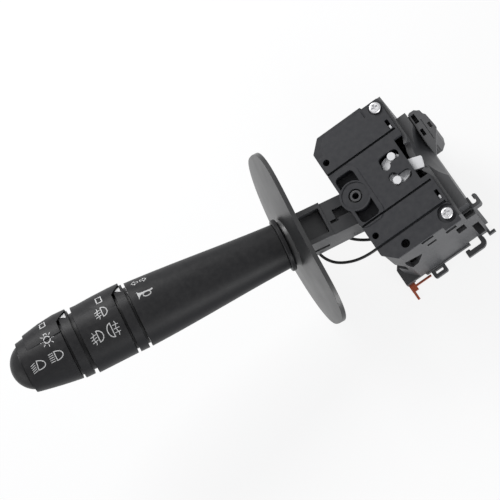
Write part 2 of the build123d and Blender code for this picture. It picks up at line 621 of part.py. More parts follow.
def copper_strip():
    """Flat contact stamping in the foot of the base, with a side bar and a solder pin."""
    low = COVER_BOTTOM + HOUSE_INSET
    z0, z1 = BASE_BOTTOM, BASE_BOTTOM + STRIP_T
    tab = box(STRIP_X[0], STRIP_X[1], low - 0.2, STRIP_ROOT, z0, z1)
    tab += box(STRIP_X[0] - 0.4, STRIP_X[1] + 0.3, low - 3.7, low - FIT, z0, z1)
    bar = box(STRIP_X[1] - 0.5, LOOP_X0 - STRIP_BAR, low - 2.1, low - 2.1 + STRIP_BAR, z0, z1)
    pin = box(STRIP_X[0] - 0.3, STRIP_X[0] + 0.8, low - 7.6, low - 3.2, z0, z1)
    return tab + bar + pin


def connector_shell():
    """Plug socket on the column side: its mouth opens away from the driver."""
    x0 = BLOCK_RIGHT
    top = PLUG_TOP
    frame = prism([(x0 + 0.4, -3.0), (x0 + 0.4, 18.9), (38.0, 19.5), (40.2, 19.4), (41.0, 18.6),
                   (42.2, 17.9), (42.5, 16.0), (43.4, 14.8), (44.0, 8.6), (44.0, 7.8)], top - 2, top)
    body = prism([(x0, PLUG_Y0), (40.2, PLUG_Y0), (42.6, PLUG_Y0 + 1.9), (PLUG_X1, PLUG_Y0 + 4.5),
                  (PLUG_X1 - 0.3, PLUG_Y1 - 4.4), (41.6, PLUG_Y1 - 0.8), (40.2, PLUG_Y1),
                  (x0, PLUG_Y1)], PLUG_BOTTOM, top - 2)
    body = frame + body
    mouth = box(SOCKET_X0, SOCKET_X1, SOCKET_Y0, SOCKET_Y1, PLUG_BOTTOM - 1, top - 2 - PLUG_WALL)
    ledge = box(x0, PLUG_LEDGE, PLUG_Y0, PLUG_Y1, PLUG_FLOOR, PLUG_FLOOR + 2)
    body -= mouth - ledge
    body -= box(37.6, 39.4, 13.6, 18.0, top - 5, top + 1)
    body -= box(37.4, 38.9, 7.2, 10.6, top - 5, top + 1)
    body -= box(40.3, 40.6, 3.6, 14.2, top - 0.4, top + 1)
    body -= box(SOCKET_X1, SOCKET_X1 + 1.2, 8.5, 11.3, PLUG_BOTTOM - 1, top + 1)
    for k in range(4):
        x = x0 + 0.4 + k * 0.95
        body += box(x, x + 0.45, PLUG_Y0 - 0.5, PLUG_Y0, PLUG_BOTTOM + 1.5, top - 3)
    return body - pin_row(FIT)


def pin_row(grow):
    pins = Part()
    pitch = (SOCKET_Y1 - SOCKET_Y0) / PIN_ROWS
    for k in range(PIN_ROWS):
        y = SOCKET_Y0 + pitch * (k + 0.5)
        pins += box(PIN_X - PIN_T / 2 - grow, PIN_X + PIN_T / 2 + grow, y - PIN_W / 2 - grow,
                    y + PIN_W / 2 + grow, PLUG_FLOOR - PIN_L, PLUG_FLOOR + PIN_HEAD + grow)
    return pins


def contact_board():
    """Moulded board with the fixed tracks of the turn-signal switch."""
    top = HOUSE_FLOOR + 1.2
    board = box(-1.5, 20, -14, 14, HOUSE_FLOOR, top)
    return board - rod_z(0, 0, HOUSE_FLOOR, top, FOOT_BOSS_R + RUN)


def contact_tracks():
    top = HOUSE_FLOOR + 1.2
    tracks = Part()
    for radius in (8.0, 11.5, 15.0):
        band = rod_z(0, 0, top, top + 0.3, radius + 0.9) - rod_z(0, 0, top, top + 0.3, radius - 0.9)
        tracks += band & box(1, 20, -radius * 0.5, radius * 0.5, top, top + 0.3)
    return tracks


def contact_slider():
    """Block under the carrier foot that holds the moving contacts."""
    top = FOOT_TOP - FOOT_T
    foot = HOUSE_FLOOR + 1.2 + 0.3 + GAP + 0.5
    return box(4.8, 17.0, -5, 5, foot, foot + 2) + box(4.8, CHEEK_FRONT, -5, 5, foot, top)


def wiper_contacts():
    foot = HOUSE_FLOOR + 1.2 + 0.3 + GAP + 0.5
    wipers = Part()
    for radius in (8.0, 11.5, 15.0):
        wipers += box(radius - 0.7, radius + 0.7, -3.5, 3.5, foot - 0.5, foot)
    return wipers


def detent_cam():
    """Curved wall with three notches for the plunger, ramped so that a pull pushes it back."""
    skin = PLUNGER_TIP + GAP
    ramp = radians(PULL_TRAVEL)
    low = PLUNGER_TIP * sin(ramp) + 3.0
    drop = (PLUNGER_BACK + PLUNGER_TIP * (1 - cos(ramp))) / (PLUNGER_TIP * sin(ramp))
    start = PLUNGER_R * 0.5
    profile = [(skin, -LEVER_DEPTH + 6), (skin, -LEVER_DEPTH - start),
               (skin - drop * (low - start), -LEVER_DEPTH - low),
               (skin + CAM_SKIN, -LEVER_DEPTH - low), (skin + CAM_SKIN, -LEVER_DEPTH + 6)]
    face = make_face(Polyline(*[(x, 0, z) for x, z in profile], close=True))
    cam = revolve(Rot(Z=-CAM_HALF) * face, Axis.Z, CAM_HALF * 2)
    for place in (-TURN_HALF - STALK_SET, -STALK_SET, TURN_HALF - STALK_SET):
        notch = rod_z(skin - CAM_NOTCH_R + CAM_NOTCH, 0, -40, 0, CAM_NOTCH_R)
        cam -= Rot(Z=place) * notch
    foot = box(skin + 0.6, skin + CAM_SKIN, -6, 6, HOUSE_FLOOR, -LEVER_DEPTH - low)
    return cam + foot


# ---------------------------------------------------------------- stalk arm and detent
def lever_arm():
    """Neck, pivot barrel and tail in one moulding, with the core tube that carries the stalk."""
    half = NECK_W / 2
    neck = box(-NECK_END, -COVER_START, -half, half, PARTING, NECK_H)
    neck += box(-COVER_START, 0, -half, half, -BARREL_R * 0.9, NECK_H)
    neck -= box(-NECK_STEP, 1, half - NECK_STEP_D, half + 1, PARTING, 20)
    neck -= box(-NECK_STEP, 1, -half - 1, half + 1, NECK_H - NECK_STEP_D, 20)
    pocket = round_box(-ARM_POCKET[1], -ARM_POCKET[0], -ARM_POCKET_HALF, ARM_POCKET_HALF,
                       NECK_H - ARM_POCKET_DEPTH, NECK_H + 1, 0.5)
    neck -= pocket
    neck -= box(-15.2, -9, -1.8, 2.6, NECK_H - 4, 20)
    neck -= box(-18.0, -14.4, -3.0, -1.6, NECK_H - 3, 20)
    neck -= box(-NECK_END + NECK_PLATE, -COVER_START - 1, -half + 2.4, half - 2.4, PARTING,
                PARTING + 1.4)
    barrel = rod_y(0, 0, -half, half, BARREL_R)
    level = Rot(Y=-LEVER_RISE)
    tail = box(0, TAIL_END, -TAIL_HALF, TAIL_HALF, -TAIL_HALF, TAIL_HALF)
    nose = tail.edges().filter_by(Axis.X)
    tail = fillet(nose, 1.2)
    core = rod_x(-CORE_END, -NECK_END + NECK_PLATE, 0, 0, CORE_R)
    plate = box(-NECK_END, -NECK_END + NECK_PLATE, -half, half, -NECK_DROP, NECK_H)
    body = neck + barrel + level * tail + plate + core
    body -= level * rod_x(SPRING_SEAT, TAIL_END + 1, 0, 0, PLUNGER_R + RUN)
    body -= rod_y(0, 0, -half - 1, half + 1, PULL_PIN_R + RUN)
    body -= rod_x(-CORE_END - 1, -NECK_END - 0.5, 0, 0, CORE_BORE)
    body -= rod_x(-NECK_END - 0.5, -NECK_END + 3, 0, -1.2, 1.9)
    return body


def arm_cover():
    """Lower cover of the neck, a trough that the leads run through."""
    half = NECK_W / 2
    far = -NECK_END + NECK_PLATE + FIT
    near = -COVER_START - SEAT
    outer = side_prism([(far, PARTING), (near, PARTING), (near, -NECK_H + 0.3), (far, -NECK_DROP)],
                       -half, half)
    inner = side_prism([(far + 1.0, 1), (near - ARM_WALL, 1), (near - ARM_WALL, -NECK_H + 0.3 + ARM_WALL),
                        (far + 1.0, -NECK_DROP + ARM_WALL)], -half + ARM_WALL, half - ARM_WALL)
    body = outer - inner
    body -= box(-28.6, -21.4, -half - 1, -half + 0.9, -4.2, PARTING)
    body -= box(-28.3, -25.2, -6.4, -1.4, -12, -NECK_DROP + 3)
    body -= box(-15.8, -11.8, -6.4, -2.0, -12, -NECK_H + 3)
    return Pos(0, 0, -FIT) * body


def detent_plunger():
    tip = PLUNGER_TIP - PLUNGER_R
    body = rod_x(tip - PLUNGER_L, tip, 0, 0, PLUNGER_R) + Pos(tip, 0, 0) * Sphere(PLUNGER_R)
    return body - rod_x(tip - PLUNGER_L - 1, tip - 3, 0, 0, 1.3)


def detent_spring():
    start = SPRING_SEAT + 0.1
    stop = PLUNGER_TIP - PLUNGER_R - 3.2
    return Rot(Z=180) * coil(start, stop, 0.85, 0.22, 7)


# ---------------------------------------------------------------- stalk
def shield_outline():
    points = []
    for k in range(48):
        angle = 2 * pi * k / 48
        x, y = cos(angle), sin(angle)
        size = (abs(x) ** COLLAR_BLUNT + abs(y) ** COLLAR_BLUNT) ** (-1 / COLLAR_BLUNT)
        points.append((x * size * COLLAR_LONG / 2, y * size * COLLAR_SHORT / 2))
    return make_face(Spline(*points, periodic=True))


def collar_shield():
    """Oval dished shield that closes the slot in the column shroud."""
    outer = Sphere(COLLAR_BULGE_R) - Sphere(COLLAR_BULGE_R - COLLAR_T)
    outer = Pos(COLLAR_BULGE_R - COLLAR_D - COLLAR_RISE, 0, 0) * outer
    oval = Rot(X=COLLAR_TWIST) * Pos(-COLLAR_D - 12, 0, 0) * Plane.YZ.location * shield_outline()
    dish = extrude(oval, 24, dir=(1, 0, 0)) & outer
    lean = Rot(Z=COLLAR_YAW) * Rot(Y=COLLAR_TILT)
    dish = Pos(-COLLAR_D, 0, 0) * lean * Pos(COLLAR_D, 0, 0) * dish
    middle = COLLAR_D + COLLAR_RISE
    hub = turned([(NECK_END + 0.2, CORE_R + FIT), (HUB_END, CORE_R + FIT), (HUB_END, HUB_R),
                  (middle + HUB_FLARE, HUB_R + 0.2), (middle - COLLAR_T / 2, HUB_R + HUB_FLARE),
                  (NECK_END + 1.2, HUB_R), (NECK_END + 0.2, HUB_R)])
    return dish - rod_x(-60, 0, 0, 0, HUB_R - 0.5) + hub


def bead_ring():
    inner = CORE_R + FIT
    d0, d1 = HUB_END + 0.1, HUB_END + 0.1 + BEAD_T
    return turned([(d0, inner), (d1, inner), (d1, BEAD_R - 0.4), (d1 - 0.4, BEAD_R),
                   (d0 + 0.4, BEAD_R), (d0, BEAD_R - 0.4)])


def body_radius(d):
    """Outer radius of the tapered handle: slightly hollow first, then slightly full."""
    t = (d - BODY_START) / (BODY_END - BODY_START)
    return BODY_R0 + (BODY_R1 - BODY_R0) * t + BODY_BOW * t * (1 - t) * (t - 0.4)


BODY_START = HUB_END + BEAD_T + 0.25


def stalk_body():
    stations = [BODY_START + (BODY_END - BODY_START) * k / 4 for k in range(5)]
    outer = [(-d, 0, body_radius(d)) for d in stations]
    inner = [(-d, 0, body_radius(d) - BODY_WALL) for d in stations]
    a, b = stations[0] + 2.4, stations[-1] - 2.4
    skin = make_face([Spline(outer), Line(outer[-1], (outer[-1][0], 0, CORE_R + FIT)),
                      Line((outer[-1][0], 0, CORE_R + FIT), (outer[0][0], 0, CORE_R + FIT)),
                      Line((outer[0][0], 0, CORE_R + FIT), outer[0])])
    solid = revolve(skin, Axis.X, 360)
    hollow = turned([(a, CORE_R + 1.5), (a, inner[0][2]), (b, inner[-1][2] - 0.1),
                     (b, CORE_R + 1.5)])
    return solid - hollow


def pointer_band(band, left, right):
    """Fixed band with a groove spigot each side, standing between two turning rings."""
    d0, d1 = band
    inner = CORE_R + FIT
    body = turned([(left, inner), (right, inner), (right, GROOVE_R), (d1, GROOVE_R), (d1, BAND_R),
                   (d0, BAND_R), (d0, GROOVE_R), (left, GROOVE_R)])
    return body


def fin(d0, length, crown, fall, root, flange):
    """Thumb grip: an off-centre crown that rises out of the ring and reaches over the band."""
    lip = BAND_R + GAP
    profile = turned([(d0 - flange, 0), (d0 + length, 0), (d0 + length, crown - fall),
                      (d0 + length / 2, crown - fall / 3), (d0 + 1, crown), (d0 - flange, crown)])
    ridge = Rot(X=-FIN_MID) * Pos(0, 0, FIN_OFF) * profile
    ridge &= sector([(d0 - flange, 0.1), (d0 + length, 0.1), (d0 + length, 20), (d0 - flange, 20)],
                    FIN_MID - FIN_HALF, FIN_MID + FIN_HALF)
    ridge -= rod_x(-d0, -d0 + flange + 1, 0, 0, lip)
    ridge -= turned([(d0, 0), (d0 + length + 1, 0), (d0 + length + 1, root[1]), (d0, root[0])])
    slant = prism([(0, -FIN_SLANT_W), (flange + 1, FIN_SLANT_W * (1 + 2 / flange)),
                   (flange + 1, -16), (0, -16)], 10, 20)
    return ridge - Rot(X=-FIN_SLANT) * Pos(-d0, 0, 0) * slant


def light_surface(d):
    t = (d - LIGHT_RING[0]) / (LIGHT_RING[1] - LIGHT_RING[0])
    return LIGHT_R0 + (LIGHT_R1 - LIGHT_R0) * t + 0.9 * t * (1 - t)


def light_ring():
    d0, d1 = LIGHT_RING
    mid = (d0 + d1) / 2
    inner = CORE_R + RUN
    face = make_face([
        ThreePointArc((-d0, 0, light_surface(d0)), (-mid, 0, light_surface(mid)),
                      (-d1, 0, light_surface(d1))),
        Polyline((-d1, 0, light_surface(d1)), (-d1, 0, DOME_R + GAP), (-SKIRT_END + 4, 0, DOME_R + GAP),
                 (-SKIRT_END + 7, 0, DOME_R + 1.6), (-d0 - WEB_T, 0, LIGHT_R0 - RING_WALL),
                 (-d0 - WEB_T, 0, RING_HUB_R), (-d0 - WEB_T - 1.6, 0, RING_HUB_R),
                 (-d0 - WEB_T - 1.6, 0, inner), (-d0 - 0.2, 0, inner), (-d0 - 0.2, 0, GROOVE_R),
                 (-d0, 0, GROOVE_R), (-d0, 0, light_surface(d0))),
    ])
    body = revolve(face, Axis.X, 360)
    body += fin(d0, LIGHT_FIN_L, LIGHT_CROWN, LIGHT_FALL, (LIGHT_R0 - RING_WALL / 2, LIGHT_R1), FIN_FLANGE)
    return body - detent_notches(d0 + 0.2, 1)


def fog_surface(d):
    t = (d - FOG_RING[0]) / (FOG_RING[1] - FOG_RING[0])
    return BAND_R + (FOG_R - BAND_R) * t


def detent_notches(d, side):
    """Three shallow dimples, one for each switch position."""
    dimples = Part()
    for k in range(3):
        turn = Rot(X=-k * RING_TRAVEL / 2)
        ball = Pos(-d + side * (DETENT_BALL_R - 0.45), 0, DETENT_RADIUS) * Sphere(DETENT_BALL_R)
        dimples += turn * ball
    return dimples


def fog_ring():
    d0, d1 = FOG_RING
    inner = CORE_R + RUN
    body = turned([(d0, GROOVE_R), (d0 + 0.2, GROOVE_R), (d0 + 0.2, inner),
                   (d0 + WEB_T + 1.8, inner), (d0 + WEB_T + 1.8, RING_HUB_R),
                   (d0 + WEB_T, RING_HUB_R), (d0 + WEB_T, FOG_R - RING_WALL),
                   (d1, FOG_R - RING_WALL), (d1, FOG_R), (d0, BAND_R)])
    root = FOG_R - RING_WALL / 2
    body += fin(d0, FOG_FIN_L, FOG_CROWN, FOG_FALL, (root, root), FIN_FLANGE - 0.6)
    return body - detent_notches(d0 + 0.2, 1)


def detent_ball(d):
    return Pos(-d, 0, DETENT_RADIUS) * Sphere(DETENT_BALL_R)


def ball_bore(d, depth):
    return rod_x(-d - 2, -d + depth, 0, DETENT_RADIUS, DETENT_BALL_R + RUN)


def ball_spring(d):
    r = DETENT_BALL_R - 0.3
    return rod_x(-d, -d + 2.2, 0, DETENT_RADIUS, r) - rod_x(-d, -d + 2.2, 0, DETENT_RADIUS, r - 0.4)


def contact_disc(d):
    """Disc fixed on the core that carries the ring's contact tracks."""
    return ring(d, d + 1.2, CORE_R + FIT, 10.6)


def contact_arcs(d):
    arcs = Part()
    for radius in (8.2, 9.8):
        arcs += sector([(d - CONTACT_T / 2, radius - 0.5), (d, radius - 0.5), (d, radius + 0.5),
                        (d - CONTACT_T / 2, radius + 0.5)], -60, 120)
    return arcs


def ring_wiper(d):
    """Copper wiper on the ring's web."""
    return sector([(d, 7.4), (d + CONTACT_T, 7.4), (d + CONTACT_T, 10.4), (d, 10.4)], -12, 12)


def horn_button():
    """Domed push button with a guide stem that runs in the core bore."""
    base = DOME_BASE
    crown = base + DOME_H
    foot = CORE_END - 6
    stem = CORE_BORE - RUN
    tube = CORE_END + 5.2
    ball = (DOME_R ** 2 + DOME_H ** 2) / (2 * DOME_H)
    half = asin(DOME_R / ball) / 2
    shoulder = crown - ball + ball * cos(half)
    face = make_face([
        ThreePointArc((-base, 0, DOME_R), (-shoulder, 0, ball * sin(half)), (-crown, 0, 0)),
        Polyline((-crown, 0, 0), (-crown + 4, 0, 0), (-crown + 4, 0, STEM_BORE), (-foot, 0, STEM_BORE),
                 (-foot, 0, stem), (-base - 0.4, 0, stem), (-base - 0.4, 0, 6.2), (-tube, 0, 6.2),
                 (-tube, 0, 8.0), (-SKIRT_END, 0, 8.0), (-SKIRT_END, 0, DOME_R), (-base, 0, DOME_R)),
    ])
    return revolve(face, Axis.X, 360)


def horn_contact_ring():
    return ring(CORE_END + 4.5, CORE_END + 5.2 - 0.02, 6.4, 8.0)


def horn_contact_seat():
    d = CORE_END
    return ring(d, d + 1.3, CORE_BORE + 0.2, 8.6) + ring(d - 1.6, d, CORE_R + FIT, 8.6)


def horn_contact_plate():
    d = CORE_END + 1.3
    return ring(d, d + 0.4, 6.4, 8.2)


def horn_spring():
    return coil(CORE_END + 1.3 + RUN, DOME_BASE + 0.4 - RUN, 4.6, 0.35, 4)


def lead(name, points, end):
    """A lead along its route to the post: straight runs joined by arcs as large as they allow."""
    across, height, last_run = end
    spots = [Vector(*p) for p in points]
    for x in (LEAD_POST[0] - last_run, LEAD_POST[0]):
        spots.append((TURN * Pos(x, across, height)).position)
    radii = []
    for a, b, c in zip(spots, spots[1:], spots[2:]):
        turn = (b - a).get_angle(c - b)
        shorter = min((b - a).length, (c - b).length)
        radii.append(LEAD_BEND * shorter / tan(radians(turn) / 2))
    path = FilletPolyline(*spots, radius=radii)
    start = Plane(origin=path @ 0, z_dir=path % 0)
    tube = sweep(start * Circle(LEAD_R), path=path)
    print(name, "length", round(path.length, 1), "least radius", round(min(radii), 1),
          "volume share", round(tube.volume / (pi * LEAD_R ** 2 * path.length), 4))
    return tube


def straight(shape):
    return Pos(0, 0, -LEVER_DEPTH) * shape


keep("cover_plate", cover_plate(), HOUSE)
keep("cover_screws", cover_screws(), HOUSE)
keep("housing", housing(), HOUSE)
keep("retaining_hooks", retaining_hooks(), HOUSE)
keep("base_plate", base_plate(), HOUSE)
keep("contact_board", contact_board(), HOUSE)
keep("copper_strip", copper_strip(), HOUSE)
keep("connector_shell", connector_shell(), HOUSE)
keep("connector_pins", pin_row(0), HOUSE)
keep("contact_tracks", contact_tracks(), HOUSE)
keep("detent_cam", detent_cam(), HOUSE)
keep("cancel_striker", striker(), STRIKER)
keep("striker_clip", striker_clip(), HOUSE)
keep("turn_carrier", turn_carrier(), TURN)
keep("pull_pin", pull_pin(), TURN)
keep("contact_slider", contact_slider(), TURN)
keep("wiper_contacts", wiper_contacts(), TURN)
keep("detent_plunger", straight(detent_plunger()), TURN)
keep("detent_spring", straight(detent_spring()), TURN)
keep("lever_arm", lever_arm(), LEVER)
keep("arm_cover", arm_cover(), LEVER)
keep("collar_shield", collar_shield(), LEVER)
keep("bead_ring", bead_ring(), LEVER)
keep("stalk_body", stalk_body(), LEVER)

fog_ball = FOG_RING[0] + 0.2 - GAP - DETENT_BALL_R
light_ball = LIGHT_RING[0] + 0.2 - GAP - DETENT_BALL_R
fog_band = pointer_band(FOG_BAND, BODY_END + SEAT, FOG_RING[0] - SEAT)
light_band = pointer_band(LIGHT_BAND, FOG_RING[1] + SEAT, LIGHT_RING[0] - SEAT)
keep("fog_pointer_band", fog_band - ball_bore(fog_ball, 3.7), LEVER)
keep("light_pointer_band", light_band - ball_bore(light_ball, 3.7), LEVER)
balls = detent_ball(fog_ball) + detent_ball(light_ball)
keep("ring_detent_balls", balls, LEVER)
springs = ball_spring(fog_ball + DETENT_BALL_R * -1) + ball_spring(light_ball - DETENT_BALL_R)
keep("ring_detent_springs", springs, LEVER)
keep("fog_ring", fog_ring(), LEVER)
keep("light_ring", light_ring(), LEVER)

fog_disc = FOG_RING[0] + WEB_T + 3.6
light_disc = LIGHT_RING[0] + WEB_T + 3.2
keep("fog_contact_disc", contact_disc(fog_disc), LEVER)
keep("light_contact_disc", contact_disc(light_disc), LEVER)
keep("ring_contact_tracks", contact_arcs(fog_disc) + contact_arcs(light_disc), LEVER)
keep("fog_wiper", ring_wiper(FOG_RING[0] + WEB_T + 2.2), LEVER)
keep("light_wiper", ring_wiper(LIGHT_RING[0] + WEB_T + 2.0), LEVER)
keep("horn_button", horn_button(), LEVER)
keep("horn_contact_ring", horn_contact_ring(), LEVER)
keep("horn_contact_seat", horn_contact_seat(), LEVER)
keep("horn_contact_plate", horn_contact_plate(), LEVER)
keep("horn_spring", horn_spring(), LEVER)

keep("horn_lead_long", lead("long", LEAD_LONG, LEAD_LONG_END), Pos(0, 0, 0))
keep("horn_lead_short", lead("short", LEAD_SHORT, LEAD_SHORT_END), Pos(0, 0, 0))

for name, shape in NODES.items():
    export_step(shape, f"parts/{name}.step")
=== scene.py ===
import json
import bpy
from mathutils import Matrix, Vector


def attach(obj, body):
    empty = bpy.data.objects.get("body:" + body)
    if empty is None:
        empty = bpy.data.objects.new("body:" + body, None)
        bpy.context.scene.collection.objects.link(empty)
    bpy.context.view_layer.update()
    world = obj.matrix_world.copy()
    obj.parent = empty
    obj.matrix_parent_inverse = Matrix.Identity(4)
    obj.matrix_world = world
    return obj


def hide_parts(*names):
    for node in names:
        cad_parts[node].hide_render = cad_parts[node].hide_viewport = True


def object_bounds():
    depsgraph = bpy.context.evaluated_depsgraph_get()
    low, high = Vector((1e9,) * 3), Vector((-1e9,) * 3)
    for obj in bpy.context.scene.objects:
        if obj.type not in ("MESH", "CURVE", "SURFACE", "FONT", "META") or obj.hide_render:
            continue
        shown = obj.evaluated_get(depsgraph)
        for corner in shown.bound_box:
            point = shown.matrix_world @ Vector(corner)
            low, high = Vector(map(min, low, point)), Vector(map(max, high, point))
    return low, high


bl_info = {
    "name": "Column Stalk Switch",
    "version": (1, 0, 0),
    "blender": (4, 5, 0),
    "location": "View3D > Sidebar > Stalk",
    "description": "Finishes, printed signs and horn leads of a steering column stalk switch",
    "category": "Object",
}

from math import cos, pi, radians, sin

import bmesh
import bpy
from mathutils import Matrix, Vector
from mathutils.bvhtree import BVHTree

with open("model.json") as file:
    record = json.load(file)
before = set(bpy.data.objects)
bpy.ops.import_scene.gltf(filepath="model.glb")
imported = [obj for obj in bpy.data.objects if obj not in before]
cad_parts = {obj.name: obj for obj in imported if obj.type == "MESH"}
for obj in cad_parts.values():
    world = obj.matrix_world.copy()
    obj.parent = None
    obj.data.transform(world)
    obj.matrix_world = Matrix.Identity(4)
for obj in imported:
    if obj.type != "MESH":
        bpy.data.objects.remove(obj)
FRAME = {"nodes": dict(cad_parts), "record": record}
CAD_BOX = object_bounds()
MM = 0.001

# The stalk's own axes: out along it, up (away from the column) and across, and its pivot.
JOINTS = {joint["name"]: joint for joint in FRAME["record"]["behaviour"]["joints"]}
STALK_OUT = Vector(JOINTS["light_turn"]["axis"]).normalized()
STALK_PIVOT = Vector(JOINTS["light_turn"]["pos_m"])
STALK_ACROSS = Vector(JOINTS["flash_pull"]["axis"]).normalized()
STALK_UP = STALK_ACROSS.cross(STALK_OUT).normalized()
if STALK_UP.z < 0:
    STALK_UP.negate()

# Camera, in millimetres and degrees: where it stands, what it looks at and how far it leans.
VIEW_FROM = Vector((51.0, -216.0, 665.0)) * MM
VIEW_TO = Vector((-47.6, 7.5, 0.0)) * MM
VIEW_LEAN = -32.8
VIEW_LENS = 120.02
VIEW_SENSOR = 36.0

# Horn leads, the same routes as their solids.
LEAD_DIAMETER = 1.3 * MM
LONG_ROUTE = [(-25.5, -1.0, -18.0), (-26.95, -1.2, -24.2), (-26.0, -7.2, -26.5),
              (-21.6, -12.6, -26.8), (-12.4, -16.9, -25.8), (0.632, -17.410, -24.0),
              (9.585, -18.320, -24.0)]
SHORT_ROUTE = [(-12.4, -2.9, -21.35), (-13.6, -3.0, -25.6), (-11.9, -5.6, -28.8),
               (-7.6, -9.4, -28.9), (-2.4, -12.6, -27.9), (4.268, -14.262, -27.0),
               (9.939, -14.838, -27.0)]
LONG_LENGTH = 51.0 * MM
SHORT_LENGTH = 32.8 * MM

# Printed signs: distance along the stalk in millimetres and angle round it in degrees.
FIRST_ROW = 38.7
SECOND_ROW = 8.5
THIRD_ROW = -22.5
PRINT_STEP = 0.35          # longest step of a print's outline, in millimetres
PATCH_EDGE = 1.6           # longest edge inside a filled sign, in steps
LAYER_LIFT = 0.35          # how much higher a crossing line lies, as a share of the print's height
BOX_EXTRA = 0.06           # extra stroke of the off mark, in millimetres
BULB_EXTRA = 0.04          # extra stroke of the side light's bulb and rays
WAVE_STEPS = 24
CAST_FROM = 30.0 * MM      # radius from which the signs are laid onto a surface

# Finishes shared by several pieces, and the floor.
DUST_COLOUR = (0.32, 0.31, 0.3)
BOARD_COLOUR = (0.16, 0.12, 0.07)
STEEL_COLOUR = (0.5, 0.5, 0.52)
METAL_EDGE = 0.12 * MM
FLOOR_HALF = 3.0           # half side of the floor, in metres
FLOOR_DROP = 0.2 * MM
FLOOR_GLOW = 0.85          # share of plain white that the camera sees in the floor


# ---------------------------------------------------------------- what a user would change
class StalkSizes(bpy.types.PropertyGroup):
    """Sizes of the printed signs and of the worn edges."""

    print_height: bpy.props.FloatProperty(
        name="Print Height", description="How far the printed signs stand on the plastic",
        default=0.035 * MM, min=0.0, unit="LENGTH")
    stroke: bpy.props.FloatProperty(
        name="Stroke", description="Width of the lamp outlines, in millimetres",
        default=0.40, min=0.1, max=2.0)
    fine_stroke: bpy.props.FloatProperty(
        name="Fine Stroke", description="Width of the beam lines and rays, in millimetres",
        default=0.30, min=0.1, max=2.0)
    edge_width: bpy.props.FloatProperty(
        name="Edge Width", description="Radius of the soft moulded edges",
        default=0.25 * MM, min=0.0, unit="LENGTH")


class StalkColours(bpy.types.PropertyGroup):
    """Colours of the plastics, metals and print."""

    cover: bpy.props.FloatVectorProperty(
        name="Cover", description="Cover and housing plastic", subtype="COLOR",
        default=(0.029, 0.030, 0.034), min=0.0, max=1.0)
    housing: bpy.props.FloatVectorProperty(
        name="Housing", description="Housing and base plastic", subtype="COLOR",
        default=(0.036, 0.037, 0.040), min=0.0, max=1.0)
    stalk: bpy.props.FloatVectorProperty(
        name="Stalk", description="Handle and ring plastic", subtype="COLOR",
        default=(0.0078, 0.0081, 0.0094), min=0.0, max=1.0)
    shield: bpy.props.FloatVectorProperty(
        name="Shield", description="Oval shield", subtype="COLOR",
        default=(0.018, 0.0185, 0.0195), min=0.0, max=1.0)
    white: bpy.props.FloatVectorProperty(
        name="White Plastic", description="Cancel striker and hooks", subtype="COLOR",
        default=(0.74, 0.74, 0.75), min=0.0, max=1.0)
    print: bpy.props.FloatVectorProperty(
        name="Print", description="Printed signs", subtype="COLOR",
        default=(0.50, 0.50, 0.50), min=0.0, max=1.0)
    zinc: bpy.props.FloatVectorProperty(
        name="Zinc", description="Plated screws", subtype="COLOR",
        default=(0.60, 0.60, 0.615), min=0.0, max=1.0)
    copper: bpy.props.FloatVectorProperty(
        name="Copper", description="Contacts and stamped strip", subtype="COLOR",
        default=(0.38, 0.10, 0.055), min=0.0, max=1.0)
    lead: bpy.props.FloatVectorProperty(
        name="Lead", description="Sleeve of the horn leads", subtype="COLOR",
        default=(0.012, 0.012, 0.013), min=0.0, max=1.0)


def sizes():
    return bpy.context.scene.stalk_sizes


def colours():
    return bpy.context.scene.stalk_colours


# ---------------------------------------------------------------- shared effects
def new_group(name, inputs, outputs):
    """An empty node group with its sockets, and its input and output nodes."""
    tree = bpy.data.node_groups.new(name, "ShaderNodeTree")
    for label, default in inputs:
        socket = tree.interface.new_socket(label, in_out="INPUT", socket_type="NodeSocketFloat")
        socket.default_value = default
    for label, kind in outputs:
        tree.interface.new_socket(label, in_out="OUTPUT", socket_type=kind)
    return tree, tree.nodes.new("NodeGroupInput"), tree.nodes.new("NodeGroupOutput")


def math_node(tree, operation, first, second=None, clamp=False):
    """A Math node fed by sockets or numbers; returns its output."""
    node = tree.nodes.new("ShaderNodeMath")
    node.operation = operation
    node.use_clamp = clamp
    for socket, value in zip(node.inputs, (first, second)):
        if value is None:
            continue
        if isinstance(value, (int, float)):
            socket.default_value = value
        else:
            tree.links.new(value, socket)
    return node.outputs[0]


def noise(tree, size, detail=2.0, stretch=(1, 1, 1)):
    """Noise whose grains are size metres across (a socket or a number); returns its value."""
    place = tree.nodes.new("ShaderNodeTexCoord")
    squeeze = tree.nodes.new("ShaderNodeVectorMath")
    squeeze.operation = "MULTIPLY"
    squeeze.inputs[1].default_value = stretch
    tree.links.new(place.outputs["Object"], squeeze.inputs[0])
    grain = tree.nodes.new("ShaderNodeTexNoise")
    grain.inputs["Detail"].default_value = detail
    tree.links.new(squeeze.outputs[0], grain.inputs["Vector"])
    tree.links.new(math_node(tree, "DIVIDE", 1.0, size), grain.inputs["Scale"])
    return grain.outputs["Fac"]


def around(tree, middle, spread, wave):
    """middle plus or minus spread, following a value that runs from 0 to 1."""
    swing = math_node(tree, "SUBTRACT", math_node(tree, "MULTIPLY", wave, 2.0), 1.0)
    return math_node(tree, "ADD", middle, math_node(tree, "MULTIPLY", swing, spread), clamp=True)


def moulded_grain():
    """Spark-eroded grain of moulded plastic, with slow patches of more and less gloss."""
    tree, given, out = new_group(
        "moulded_grain",
        [("Grain Size", 0.2 * MM), ("Roughness", 0.45), ("Spread", 0.06)],
        [("Roughness", "NodeSocketFloat"), ("Height", "NodeSocketFloat")])
    fine = noise(tree, given.outputs["Grain Size"], 3.0)
    patches = noise(tree, 9.0 * MM, 4.0)
    tree.links.new(around(tree, given.outputs["Roughness"], given.outputs["Spread"], patches),
                   out.inputs["Roughness"])
    tree.links.new(fine, out.inputs["Height"])
    return tree


